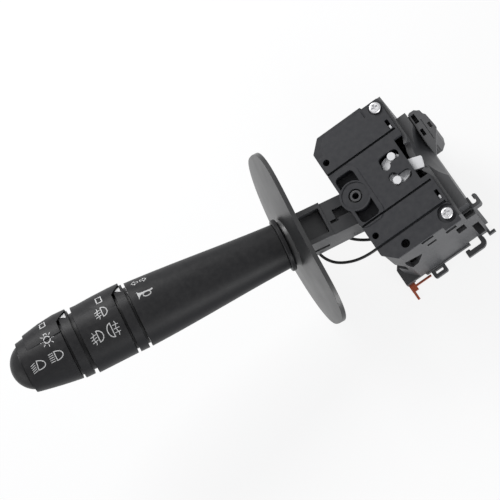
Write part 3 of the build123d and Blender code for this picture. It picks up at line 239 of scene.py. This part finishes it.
def soft_edge():
    """Rounded normal at moulded edges, and a mask of where handling has polished them."""
    tree, given, out = new_group(
        "soft_edge", [("Width", 0.25 * MM), ("Wear", 0.5)],
        [("Mask", "NodeSocketFloat"), ("Normal", "NodeSocketVector")])
    bevel = tree.nodes.new("ShaderNodeBevel")
    bevel.samples = 4
    tree.links.new(given.outputs["Width"], bevel.inputs["Radius"])
    flat = tree.nodes.new("ShaderNodeNewGeometry")
    facing = tree.nodes.new("ShaderNodeVectorMath")
    facing.operation = "DOT_PRODUCT"
    tree.links.new(bevel.outputs["Normal"], facing.inputs[0])
    tree.links.new(flat.outputs["Normal"], facing.inputs[1])
    turned = math_node(tree, "SUBTRACT", 1.0, facing.outputs["Value"])
    worn = math_node(tree, "MULTIPLY", given.outputs["Wear"], 6.0)
    rubbed = math_node(tree, "MULTIPLY", turned, worn)
    broken = math_node(tree, "MULTIPLY", rubbed, noise(tree, 1.6 * MM, 4.0), clamp=True)
    tree.links.new(broken, out.inputs["Mask"])
    tree.links.new(bevel.outputs["Normal"], out.inputs["Normal"])
    return tree


def settled_dust():
    """Mask of the fine dust that lies on faces turned upwards."""
    tree, given, out = new_group("settled_dust", [("Amount", 0.1)], [("Mask", "NodeSocketFloat")])
    face = tree.nodes.new("ShaderNodeNewGeometry")
    split = tree.nodes.new("ShaderNodeSeparateXYZ")
    tree.links.new(face.outputs["Normal"], split.inputs[0])
    upward = math_node(tree, "SUBTRACT", split.outputs["Z"], 0.35, clamp=True)
    patchy = math_node(tree, "MULTIPLY", upward, noise(tree, 2.4 * MM, 6.0))
    tree.links.new(math_node(tree, "MULTIPLY", patchy, given.outputs["Amount"], clamp=True),
                   out.inputs["Mask"])
    return tree


def drawn_lines():
    """Fine lines of rolled, drawn or plated metal, running along Y."""
    tree, given, out = new_group(
        "drawn_lines", [("Line Size", 0.12 * MM), ("Roughness", 0.3), ("Spread", 0.08)],
        [("Roughness", "NodeSocketFloat"), ("Height", "NodeSocketFloat"),
         ("Tone", "NodeSocketFloat")])
    lines = noise(tree, given.outputs["Line Size"], 3.0, (1, 0.08, 1))
    tree.links.new(around(tree, given.outputs["Roughness"], given.outputs["Spread"], lines),
                   out.inputs["Roughness"])
    tree.links.new(lines, out.inputs["Height"])
    tree.links.new(noise(tree, 1.4 * MM, 5.0), out.inputs["Tone"])
    return tree


EFFECTS = {}


def effect(name):
    """The shared node group of that name, built the first time it is asked for."""
    makers = {"moulded_grain": moulded_grain, "soft_edge": soft_edge,
              "settled_dust": settled_dust, "drawn_lines": drawn_lines}
    if name not in EFFECTS:
        EFFECTS[name] = makers[name]()
    return EFFECTS[name]


def place_effect(tree, name, **values):
    """A node that holds a shared effect in a material, with this material's own values."""
    node = tree.nodes.new("ShaderNodeGroup")
    node.node_tree = effect(name)
    for label, value in values.items():
        node.inputs[label.replace("_", " ").title()].default_value = value
    return node


# ---------------------------------------------------------------- finishes
def new_material(name):
    """A node material with its Principled shader."""
    material = bpy.data.materials.new(name)
    material.use_nodes = True
    shader = material.node_tree.nodes["Principled BSDF"]
    return material, material.node_tree, shader


def blend_colour(tree, mask, under, over):
    """A Mix node between two colours or sockets by a mask; returns its colour."""
    node = tree.nodes.new("ShaderNodeMix")
    node.data_type = "RGBA"
    tree.links.new(mask, node.inputs[0])
    for socket, value in ((node.inputs[6], under), (node.inputs[7], over)):
        if isinstance(value, bpy.types.NodeSocket):
            tree.links.new(value, socket)
        else:
            socket.default_value = (*value, 1.0)
    return node.outputs[2]


def lighter(colour, factor, lift=0.0):
    return [min(1.0, channel * factor + lift) for channel in colour]


def bump(tree, shader, height, distance, normal=None):
    node = tree.nodes.new("ShaderNodeBump")
    node.inputs["Distance"].default_value = distance
    tree.links.new(height, node.inputs["Height"])
    if normal is not None:
        tree.links.new(normal, node.inputs["Normal"])
    tree.links.new(node.outputs["Normal"], shader.inputs["Normal"])


def plastic(name, colour, roughness, grain=0.2, depth=0.004, wear=0.35, dust=0.12, spread=0.06,
            gloss=0.12, edge=None):
    """Moulded plastic: grain, soft polished edges and a little dust in its colour."""
    material, tree, shader = new_material(name)
    surface = place_effect(tree, "moulded_grain", grain_size=grain * MM, roughness=roughness,
                           spread=spread)
    edges = place_effect(tree, "soft_edge", width=edge or sizes().edge_width, wear=wear)
    dusty = place_effect(tree, "settled_dust", amount=dust)
    rubbed = blend_colour(tree, edges.outputs["Mask"], colour, lighter(colour, 1.9, 0.012))
    final = blend_colour(tree, dusty.outputs["Mask"], rubbed, DUST_COLOUR)
    tree.links.new(final, shader.inputs["Base Color"])
    tree.links.new(surface.outputs["Roughness"], shader.inputs["Roughness"])
    bump(tree, shader, surface.outputs["Height"], depth * MM, edges.outputs["Normal"])
    shader.inputs["Specular IOR Level"].default_value = gloss
    return material


def metal(name, colour, roughness, line=0.12, depth=0.002, spread=0.08, tarnish=0.75):
    """Bare or plated metal with drawn lines and a slightly uneven tone."""
    material, tree, shader = new_material(name)
    lines = place_effect(tree, "drawn_lines", line_size=line * MM, roughness=roughness,
                         spread=spread)
    edges = place_effect(tree, "soft_edge", width=METAL_EDGE, wear=0.3)
    tone = blend_colour(tree, lines.outputs["Tone"], lighter(colour, tarnish), colour)
    final = blend_colour(tree, edges.outputs["Mask"], tone, lighter(colour, 1.15))
    tree.links.new(final, shader.inputs["Base Color"])
    tree.links.new(lines.outputs["Roughness"], shader.inputs["Roughness"])
    bump(tree, shader, lines.outputs["Height"], depth * MM, edges.outputs["Normal"])
    shader.inputs["Metallic"].default_value = 1.0
    return material


def paint(material, *nodes):
    """Gives CAD nodes a material through their own slots."""
    for name in nodes:
        for slot in FRAME["nodes"][name].material_slots:
            slot.link = "OBJECT"
            slot.material = material


# ---------------------------------------------------------------- flat shapes for the print
def arc(middle, across, high, start, stop, steps=24):
    """Points on an ellipse between two angles in degrees."""
    return [Vector((middle[0] + across * cos(radians(start + (stop - start) * k / steps)),
                    middle[1] + high * sin(radians(start + (stop - start) * k / steps))))
            for k in range(steps + 1)]


def evenly(path, closed):
    """The path with points added so that no step is longer than the print's step."""
    corners = [Vector(point) for point in path]
    if closed:
        corners.append(corners[0])
    points = []
    for a, b in zip(corners, corners[1:]):
        count = max(1, int((b - a).length / PRINT_STEP + 0.999))
        points += [a.lerp(b, k / count) for k in range(count)]
    if not closed:
        points.append(corners[-1])
    return points


def stroke(path, width, closed=False, layer=0):
    """A line of even width along a path, with round ends, as points, faces and layer."""
    middle = evenly(path, closed)
    total = len(middle)
    points, faces = [], []
    for k, here in enumerate(middle):
        before = middle[k - 1] if k or closed else None
        after = middle[(k + 1) % total] if k < total - 1 or closed else None
        come = (here - before).normalized() if before else (after - here).normalized()
        go = (after - here).normalized() if after else come
        run = (come + go).normalized()
        side = Vector((-run.y, run.x)) * (width / 2 / max(0.5, run.dot(come)))
        points += [here + side, here - side]
    last = total if closed else total - 1
    for k in range(last):
        n = (k + 1) % total
        faces.append((2 * k, 2 * k + 1, 2 * n + 1, 2 * n))
    if not closed:
        for k, neighbour in ((0, 1), (total - 1, total - 2)):
            out = (middle[k] - middle[neighbour]).normalized()
            start = len(points)
            side = Vector((-out.y, out.x))
            ring = [middle[k] + (side * cos(radians(a)) + out * sin(radians(a))) * width / 2
                    for a in range(0, 181, 30)]
            points += ring
            faces.append(tuple(range(start, start + len(ring))))
    return points, faces, layer


def patch(outline, layer=0):
    """A filled flat shape, split finely enough to lie on a round surface."""
    mesh = bmesh.new()
    corners = [mesh.verts.new((point[0], point[1], 0)) for point in outline]
    mesh.faces.new(corners)
    bmesh.ops.triangulate(mesh, faces=mesh.faces[:])
    for _ in range(4):
        long_edges = [edge for edge in mesh.edges if edge.calc_length() > PRINT_STEP * PATCH_EDGE]
        if long_edges:
            bmesh.ops.subdivide_edges(mesh, edges=long_edges, cuts=1)
            bmesh.ops.triangulate(mesh, faces=mesh.faces[:])
    mesh.verts.index_update()
    points = [vert.co.to_2d() for vert in mesh.verts]
    faces = [tuple(vert.index for vert in face.verts) for face in mesh.faces]
    mesh.free()
    return points, faces, layer


def lamp(width, high, flip=1, tilt=0.0):
    """Outline of a lamp: a flat back and a round front."""
    turn = Matrix.Rotation(radians(tilt), 2)
    front = arc((-flip * width / 2, 0), flip * width, high / 2, 90, -90)
    return [turn @ point for point in front]


def beam_lines(near, reach, count, pitch, drop):
    """Parallel beam lines to the left of a lamp, each dropping towards its far end."""
    lines = []
    for k in range(count):
        y = (k - (count - 1) / 2) * pitch
        lines.append([(near, y), (near - reach, y - drop)])
    return lines


def wave(x, high, swing, turns=1.5):
    """The wavy line that stands for fog."""
    return [(x + swing * sin(2 * pi * turns * k / WAVE_STEPS), high * (k / WAVE_STEPS - 0.5))
            for k in range(WAVE_STEPS + 1)]


def box_sign(width, high):
    half, tall = width / 2, high / 2
    return [stroke([(-half, -tall), (half, -tall), (half, tall), (-half, tall)],
                   sizes().stroke + BOX_EXTRA, closed=True)]


def side_light_sign():
    """A small bulb with rays round it."""
    fine = sizes().fine_stroke
    shapes = [stroke(arc((0, 0), 1.42, 1.42, 0, 345, 23), sizes().stroke + BULB_EXTRA, closed=True)]
    for angle in (0, 45, 135, 180, 225, 270, 315):
        way = Vector((cos(radians(angle)), sin(radians(angle))))
        shapes.append(stroke([way * 2.2, way * 3.1], fine + BULB_EXTRA))
    foot = [(-0.62, 2.05), (-0.62, 2.75), (0.62, 2.75), (0.62, 2.05)]
    shapes.append(stroke(foot, fine, layer=1))
    return shapes


def high_beam_sign():
    shapes = [stroke(lamp(3.3, 4.0), sizes().stroke, closed=True)]
    for line in beam_lines(-2.35, 2.0, 5, 0.92, 0.12):
        shapes.append(stroke(line, sizes().fine_stroke))
    return shapes


def dipped_beam_sign():
    shapes = [stroke(lamp(3.4, 4.0, tilt=-8), sizes().stroke, closed=True)]
    for line in beam_lines(-2.5, 1.9, 5, 0.9, 0.75):
        shapes.append(stroke(line, sizes().fine_stroke))
    return shapes


def front_fog_sign(high):
    shapes = [stroke(lamp(2.3, high), sizes().stroke, closed=True)]
    for line in beam_lines(-1.75, 2.5, 3, 1.25, 0.6):
        shapes.append(stroke(line, sizes().fine_stroke))
    shapes.append(stroke([(x - 3.0, y - 0.3) for x, y in wave(0, high + 0.5, 0.28)],
                         sizes().fine_stroke, layer=1))
    return shapes


def rear_fog_sign(high):
    shapes = [stroke(lamp(2.1, high, flip=-1), sizes().stroke, closed=True)]
    for k in (-1, 0, 1):
        shapes.append(stroke([(1.75, 1.65 * k), (4.1, 1.65 * k)], sizes().fine_stroke))
    shapes.append(stroke([(x + 2.95, y) for x, y in wave(0, high, 0.25)],
                         sizes().fine_stroke, layer=1))
    return shapes


def arrow_pair_sign():
    """Two open arrows, back to back."""
    shapes = []
    for way in (1, -1):
        outline = [(3.4, 0), (2.0, 1.55), (2.0, 0.62), (0.5, 0.62),
                   (0.5, -0.62), (2.0, -0.62), (2.0, -1.55)]
        shapes.append(stroke([(way * x, y) for x, y in outline], sizes().fine_stroke, closed=True))
    return shapes


def horn_sign():
    """A bugle: flared bell, straight tube and one turn below it."""
    bell = [(-3.5, 2.15), (-3.15, 1.3), (-2.3, 0.95), (0, 0.75), (2.6, 0.65), (3.1, 0.95),
            (3.5, 0.75), (3.45, 0.15), (2.8, 0.0), (0, 0.05), (-1.6, -0.1), (-2.5, -0.6),
            (-3.1, -1.2), (-3.5, -2.0)]
    loop = arc((0.45, -0.7), 1.75, 1.05, 0, 345, 23)
    return [patch(bell), stroke(loop, sizes().stroke, closed=True, layer=1)]


def pointer_sign():
    return [patch([(-1.55, 0), (1.25, 2.3), (1.25, -2.3)])]


# ---------------------------------------------------------------- print on the stalk
def stalk_point(distance, angle, radius):
    """A point by its distance along the stalk, its angle round it and its radius, in metres."""
    side = STALK_UP * cos(angle) + STALK_ACROSS * sin(angle)
    return STALK_PIVOT + STALK_OUT * distance + side * radius, side


def lay_on(skin, distance, angle, radius, x, y, lift):
    """The point of a surface under a sign's point, raised by the print's height."""
    turn = radians(angle) + y * MM / radius
    start, side = stalk_point((distance - x) * MM, turn, CAST_FROM)
    hit = skin.ray_cast(start, -side)[0]
    if hit is None:
        raise RuntimeError("a sign reaches past its surface")
    return hit + side * lift


def skin_of(node):
    piece = FRAME["nodes"][node]
    mesh = piece.data
    return BVHTree.FromPolygons([vert.co.copy() for vert in mesh.vertices],
                                [tuple(face.vertices) for face in mesh.polygons])


def print_signs(name, node, body, signs):
    """One object of printed signs on a node: each sign is its shapes, distance and angle."""
    skin = skin_of(node)
    points, faces = [], []
    for shapes, distance, angle in signs:
        middle, _ = stalk_point(distance * MM, radians(angle), 0.0)
        first, side = stalk_point(distance * MM, radians(angle), CAST_FROM)
        radius = (skin.ray_cast(first, -side)[0] - middle).length
        for flat, quads, layer in shapes:
            start = len(points)
            lift = sizes().print_height * (1 + LAYER_LIFT * layer)
            points += [lay_on(skin, distance, angle, radius, p[0], p[1], lift) for p in flat]
            faces += [tuple(start + k for k in face) for face in quads]
    mesh = bpy.data.meshes.new(name)
    mesh.from_pydata(points, [], faces)
    mesh.validate()
    tidy = bmesh.new()
    tidy.from_mesh(mesh)
    bmesh.ops.recalc_face_normals(tidy, faces=tidy.faces[:])
    for face in tidy.faces:
        out = face.calc_center_median() - STALK_PIVOT
        out -= STALK_OUT * out.dot(STALK_OUT)
        if face.normal.dot(out) < 0:
            face.normal_flip()
    tidy.to_mesh(mesh)
    tidy.free()
    piece = bpy.data.objects.new(name, mesh)
    bpy.context.scene.collection.objects.link(piece)
    mesh.materials.append(print_material())
    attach(piece, body)
    return piece


def print_material():
    """Pad-printed white ink, a little thin in places."""
    found = bpy.data.materials.get("white_print")
    if found:
        return found
    material, tree, shader = new_material("white_print")
    ink = place_effect(tree, "moulded_grain", grain_size=0.3 * MM, roughness=0.55, spread=0.1)
    colour = colours().print
    tone = blend_colour(tree, ink.outputs["Height"], lighter(colour, 0.82), colour)
    tree.links.new(tone, shader.inputs["Base Color"])
    tree.links.new(ink.outputs["Roughness"], shader.inputs["Roughness"])
    bump(tree, shader, ink.outputs["Height"], 0.004 * MM)
    return material


# ---------------------------------------------------------------- operators
class STALK_OT_stage(bpy.types.Operator):
    """Camera, studio lights, world and floor"""

    bl_idname = "stalk.stage"
    bl_label = "Stage"

    def execute(self, context):
        add_camera(context.scene)
        add_world(context.scene)
        add_lights(context.scene)
        add_floor(context.scene)
        context.scene.view_settings.view_transform = "Standard"
        return {"FINISHED"}


def add_camera(scene):
    ahead = (VIEW_TO - VIEW_FROM).normalized()
    right = ahead.cross(Vector((0, 1, 0))).normalized()
    upward = right.cross(ahead)
    lean = radians(VIEW_LEAN)
    image_right = right * cos(lean) + upward * sin(lean)
    image_up = upward * cos(lean) - right * sin(lean)
    camera = bpy.data.objects.new("camera", bpy.data.cameras.new("camera"))
    camera.matrix_world = Matrix((
        (image_right.x, image_up.x, -ahead.x, VIEW_FROM.x),
        (image_right.y, image_up.y, -ahead.y, VIEW_FROM.y),
        (image_right.z, image_up.z, -ahead.z, VIEW_FROM.z),
        (0, 0, 0, 1)))
    camera.data.sensor_width = VIEW_SENSOR
    camera.data.lens = VIEW_LENS
    camera.data.clip_start = 0.01
    scene.collection.objects.link(camera)
    scene.camera = camera


# Rays besides the camera's that meet the white backdrop, and the strength of the light all round.
WHITE_RAYS = ("Is Glossy Ray", "Is Transmission Ray")
AMBIENT = 0.3


def white_rays(tree):
    """1 for the rays that meet the white backdrop."""
    path = tree.nodes.new("ShaderNodeLightPath")
    seen = path.outputs["Is Camera Ray"]
    for ray in WHITE_RAYS:
        seen = math_node(tree, "MAXIMUM", seen, path.outputs[ray])
    return seen


def add_world(scene):
    """Pale even light all round; the camera and glossy faces meet white."""
    world = bpy.data.worlds.new("studio")
    world.use_nodes = True
    tree = world.node_tree
    light = tree.nodes["Background"]
    light.inputs["Color"].default_value = (0.94, 0.96, 1.0, 1.0)
    light.inputs["Strength"].default_value = AMBIENT
    white = tree.nodes.new("ShaderNodeBackground")
    white.inputs["Color"].default_value = (1, 1, 1, 1)
    choose = tree.nodes.new("ShaderNodeMixShader")
    tree.links.new(white_rays(tree), choose.inputs[0])
    tree.links.new(light.outputs[0], choose.inputs[1])
    tree.links.new(white.outputs[0], choose.inputs[2])
    tree.links.new(choose.outputs[0], tree.nodes["World Output"].inputs["Surface"])
    scene.world = world


# Name, place, aim and size in millimetres, power in watts and spread in degrees.
LAMPS = (
    ("key", (-100, 330, 260), (-40, 0, 0), (260, 180), 1.9, 180),
    ("low_side", (160, -560, 60), (40, -20, -20), (520, 220), 3.3, 180),
    ("low_end", (-620, -160, 140), (-60, 0, 0), (420, 260), 1.0, 180),
)


def add_lights(scene):
    for name, place, aim, size, power, spread in LAMPS:
        data = bpy.data.lights.new(name, "AREA")
        data.shape = "RECTANGLE"
        data.size, data.size_y = size[0] * MM, size[1] * MM
        data.energy = power
        data.spread = radians(spread)
        lamp_object = bpy.data.objects.new(name, data)
        lamp_object.location = Vector(place) * MM
        way = (Vector(aim) - Vector(place)).normalized()
        lamp_object.rotation_euler = way.to_track_quat("-Z", "Y").to_euler()
        scene.collection.objects.link(lamp_object)


def add_floor(scene):
    """A wide pale floor just under the base, which stays near white for the camera."""
    low = CAD_BOX[0][2] - FLOOR_DROP
    corners = [(-FLOOR_HALF, -FLOOR_HALF, low), (FLOOR_HALF, -FLOOR_HALF, low),
               (FLOOR_HALF, FLOOR_HALF, low), (-FLOOR_HALF, FLOOR_HALF, low)]
    mesh = bpy.data.meshes.new("floor")
    mesh.from_pydata(corners, [], [(0, 1, 2, 3)])
    floor = bpy.data.objects.new("floor", mesh)
    scene.collection.objects.link(floor)
    material, tree, shader = new_material("pale_floor")
    shader.inputs["Base Color"].default_value = (0.85, 0.85, 0.86, 1.0)
    shader.inputs["Roughness"].default_value = 0.9
    glow = tree.nodes.new("ShaderNodeEmission")
    glow.inputs["Strength"].default_value = 1.0
    choose = tree.nodes.new("ShaderNodeMixShader")
    tree.links.new(math_node(tree, "MULTIPLY", white_rays(tree), FLOOR_GLOW), choose.inputs[0])
    tree.links.new(shader.outputs[0], choose.inputs[1])
    tree.links.new(glow.outputs[0], choose.inputs[2])
    tree.links.new(choose.outputs[0], tree.nodes["Material Output"].inputs["Surface"])
    mesh.materials.append(material)


class STALK_OT_horn_leads(bpy.types.Operator):
    """Two thin leads from the arm to the carrier's post"""

    bl_idname = "stalk.horn_leads"
    bl_label = "Horn Leads"

    def execute(self, context):
        sleeve = plastic("lead_sleeve", colours().lead, 0.5, grain=0.3, depth=0.003, wear=0.0,
                         dust=0.05, gloss=0.45)
        for name, route, length in (("long_lead", LONG_ROUTE, LONG_LENGTH),
                                    ("short_lead", SHORT_ROUTE, SHORT_LENGTH)):
            curve = bpy.data.curves.new(name, "CURVE")
            curve.dimensions = "3D"
            spline = curve.splines.new("NURBS")
            spline.points.add(len(route) - 1)
            for point, place in zip(spline.points, route):
                point.co = (*(Vector(place) * MM), 1.0)
            spline.order_u = 3
            spline.use_endpoint_u = True
            spline.resolution_u = 10
            curve.bevel_depth = LEAD_DIAMETER / 2
            curve.bevel_resolution = 5
            curve.use_fill_caps = True
            curve.materials.append(sleeve)
            piece = bpy.data.objects.new(name, curve)
            context.scene.collection.objects.link(piece)
            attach(piece, "carrier")
            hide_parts("horn_lead_" + name.split("_")[0])
        return {"FINISHED"}


class STALK_OT_cover(bpy.types.Operator):
    """Finish of the cover plate, its screws and its white hooks"""

    bl_idname = "stalk.cover"
    bl_label = "Cover and Screws"

    def execute(self, context):
        paint(plastic("cover_plastic", colours().cover, 0.5, grain=0.25, depth=0.006, wear=0.5,
                      dust=0.16), "cover_plate")
        paint(metal("zinc_plate", colours().zinc, 0.32), "cover_screws")
        paint(plastic("white_acetal", colours().white, 0.42, grain=0.3, depth=0.003, wear=0.1,
                      dust=0.1, gloss=0.5), "retaining_hooks", "cancel_striker", "detent_cam",
              "detent_plunger", "fog_contact_disc", "light_contact_disc", "horn_contact_seat")
        return {"FINISHED"}


class STALK_OT_housing(bpy.types.Operator):
    """Finish of the housing, base, connector and the metal in them"""

    bl_idname = "stalk.housing"
    bl_label = "Housing and Base"

    def execute(self, context):
        paint(plastic("housing_plastic", colours().housing, 0.5, grain=0.25, depth=0.006, wear=0.5,
                      gloss=0.5), "housing", "base_plate", "connector_shell")
        paint(plastic("board_phenolic", BOARD_COLOUR, 0.6, grain=0.5, depth=0.004),
              "contact_board")
        paint(metal("contact_copper", colours().copper, 0.34, tarnish=0.6), "copper_strip",
              "connector_pins", "contact_tracks", "wiper_contacts", "fog_wiper", "light_wiper",
              "ring_contact_tracks", "horn_contact_ring", "horn_contact_plate")
        paint(metal("spring_steel", STEEL_COLOUR, 0.3), "striker_clip", "pull_pin",
              "detent_spring", "horn_spring", "ring_detent_balls", "ring_detent_springs")
        return {"FINISHED"}


class STALK_OT_arm(bpy.types.Operator):
    """Finish of the carrier, arm and slider"""

    bl_idname = "stalk.arm"
    bl_label = "Carrier and Arm"

    def execute(self, context):
        paint(plastic("arm_plastic", colours().housing, 0.42, grain=0.22, depth=0.004, wear=0.5,
                      gloss=0.4), "turn_carrier", "contact_slider", "lever_arm", "arm_cover")
        return {"FINISHED"}


class STALK_OT_shield(bpy.types.Operator):
    """Finish of the oval shield and the bead ring"""

    bl_idname = "stalk.shield"
    bl_label = "Shield"

    def execute(self, context):
        paint(plastic("shield_plastic", colours().shield, 0.36, grain=0.18, depth=0.003, wear=0.4,
                      dust=0.06, gloss=0.42), "collar_shield")
        paint(plastic("bead_plastic", colours().stalk, 0.4, wear=0.3), "bead_ring")
        return {"FINISHED"}


class STALK_OT_handle(bpy.types.Operator):
    """Finish and printed signs of the tapered handle"""

    bl_idname = "stalk.handle"
    bl_label = "Handle"

    def execute(self, context):
        paint(plastic("handle_plastic", colours().stalk, 0.44, grain=0.2, depth=0.006, wear=0.3),
              "stalk_body")
        print_signs("handle_signs", "stalk_body", "lever", [
            (arrow_pair_sign(), 102.3, FIRST_ROW + 5.0),
            (horn_sign(), 101.7, SECOND_ROW + 4.0)])
        return {"FINISHED"}


class STALK_OT_bands(bpy.types.Operator):
    """Finish and pointers of the two fixed bands"""

    bl_idname = "stalk.bands"
    bl_label = "Pointer Bands"

    def execute(self, context):
        paint(plastic("band_plastic", colours().stalk, 0.42, grain=0.2, depth=0.005, wear=0.4),
              "fog_pointer_band", "light_pointer_band")
        for name, distance in (("fog_pointer", 112.2), ("light_pointer", 137.6)):
            print_signs(name, name + "_band", "lever",
                        [(pointer_sign(), distance, FIRST_ROW + 7.0)])
        return {"FINISHED"}


class STALK_OT_rings(bpy.types.Operator):
    """Finish and printed signs of the two turning rings"""

    bl_idname = "stalk.rings"
    bl_label = "Switch Rings"

    def execute(self, context):
        paint(plastic("ring_plastic", colours().stalk, 0.44, grain=0.2, depth=0.006, wear=0.45),
              "light_ring", "fog_ring")
        print_signs("light_signs", "light_ring", "light_knob", [
            (box_sign(2.3, 3.2), 146.8, FIRST_ROW + 8.0),
            (side_light_sign(), 147.2, SECOND_ROW + 4.6),
            (high_beam_sign(), 145.1, THIRD_ROW + 2.0),
            (dipped_beam_sign(), 153.6, THIRD_ROW - 1.0)])
        print_signs("fog_signs", "fog_ring", "fog_knob", [
            (box_sign(2.3, 3.4), 120.9, FIRST_ROW),
            (front_fog_sign(4.4), 120.5, SECOND_ROW + 5.0),
            (front_fog_sign(4.9), 126.2, THIRD_ROW + 1.0),
            (rear_fog_sign(6.2), 121.8, THIRD_ROW + 1.0)])
        return {"FINISHED"}


class STALK_OT_horn_button(bpy.types.Operator):
    """Finish of the domed horn button"""

    bl_idname = "stalk.horn_button"
    bl_label = "Horn Button"

    def execute(self, context):
        paint(plastic("button_plastic", colours().stalk, 0.4, grain=0.2, depth=0.005, wear=0.5),
              "horn_button")
        return {"FINISHED"}


class STALK_PT_panel(bpy.types.Panel):
    """Sizes, colours and steps of the stalk switch"""

    bl_idname = "STALK_PT_panel"
    bl_label = "Stalk Switch"
    bl_space_type = "VIEW_3D"
    bl_region_type = "UI"
    bl_category = "Stalk"

    def draw(self, context):
        for group in (context.scene.stalk_sizes, context.scene.stalk_colours):
            box = self.layout.box()
            for name in group.__annotations__:
                box.prop(group, name)
        for operator in OPERATORS:
            self.layout.operator(operator.bl_idname)


OPERATORS = (STALK_OT_stage, STALK_OT_horn_leads, STALK_OT_cover, STALK_OT_housing, STALK_OT_arm,
             STALK_OT_shield, STALK_OT_handle, STALK_OT_bands, STALK_OT_rings, STALK_OT_horn_button)
CLASSES = (StalkSizes, StalkColours, *OPERATORS, STALK_PT_panel)


def register():
    for item in CLASSES:
        bpy.utils.register_class(item)
    bpy.types.Scene.stalk_sizes = bpy.props.PointerProperty(type=StalkSizes)
    bpy.types.Scene.stalk_colours = bpy.props.PointerProperty(type=StalkColours)


def unregister():
    del bpy.types.Scene.stalk_colours
    del bpy.types.Scene.stalk_sizes
    for item in reversed(CLASSES):
        bpy.utils.unregister_class(item)


def main():
    register()
    for operator in OPERATORS:
        group, name = operator.bl_idname.split(".")
        getattr(getattr(bpy.ops, group), name)()
    bpy.context.view_layer.update()


if __name__ == "__main__":
    main()
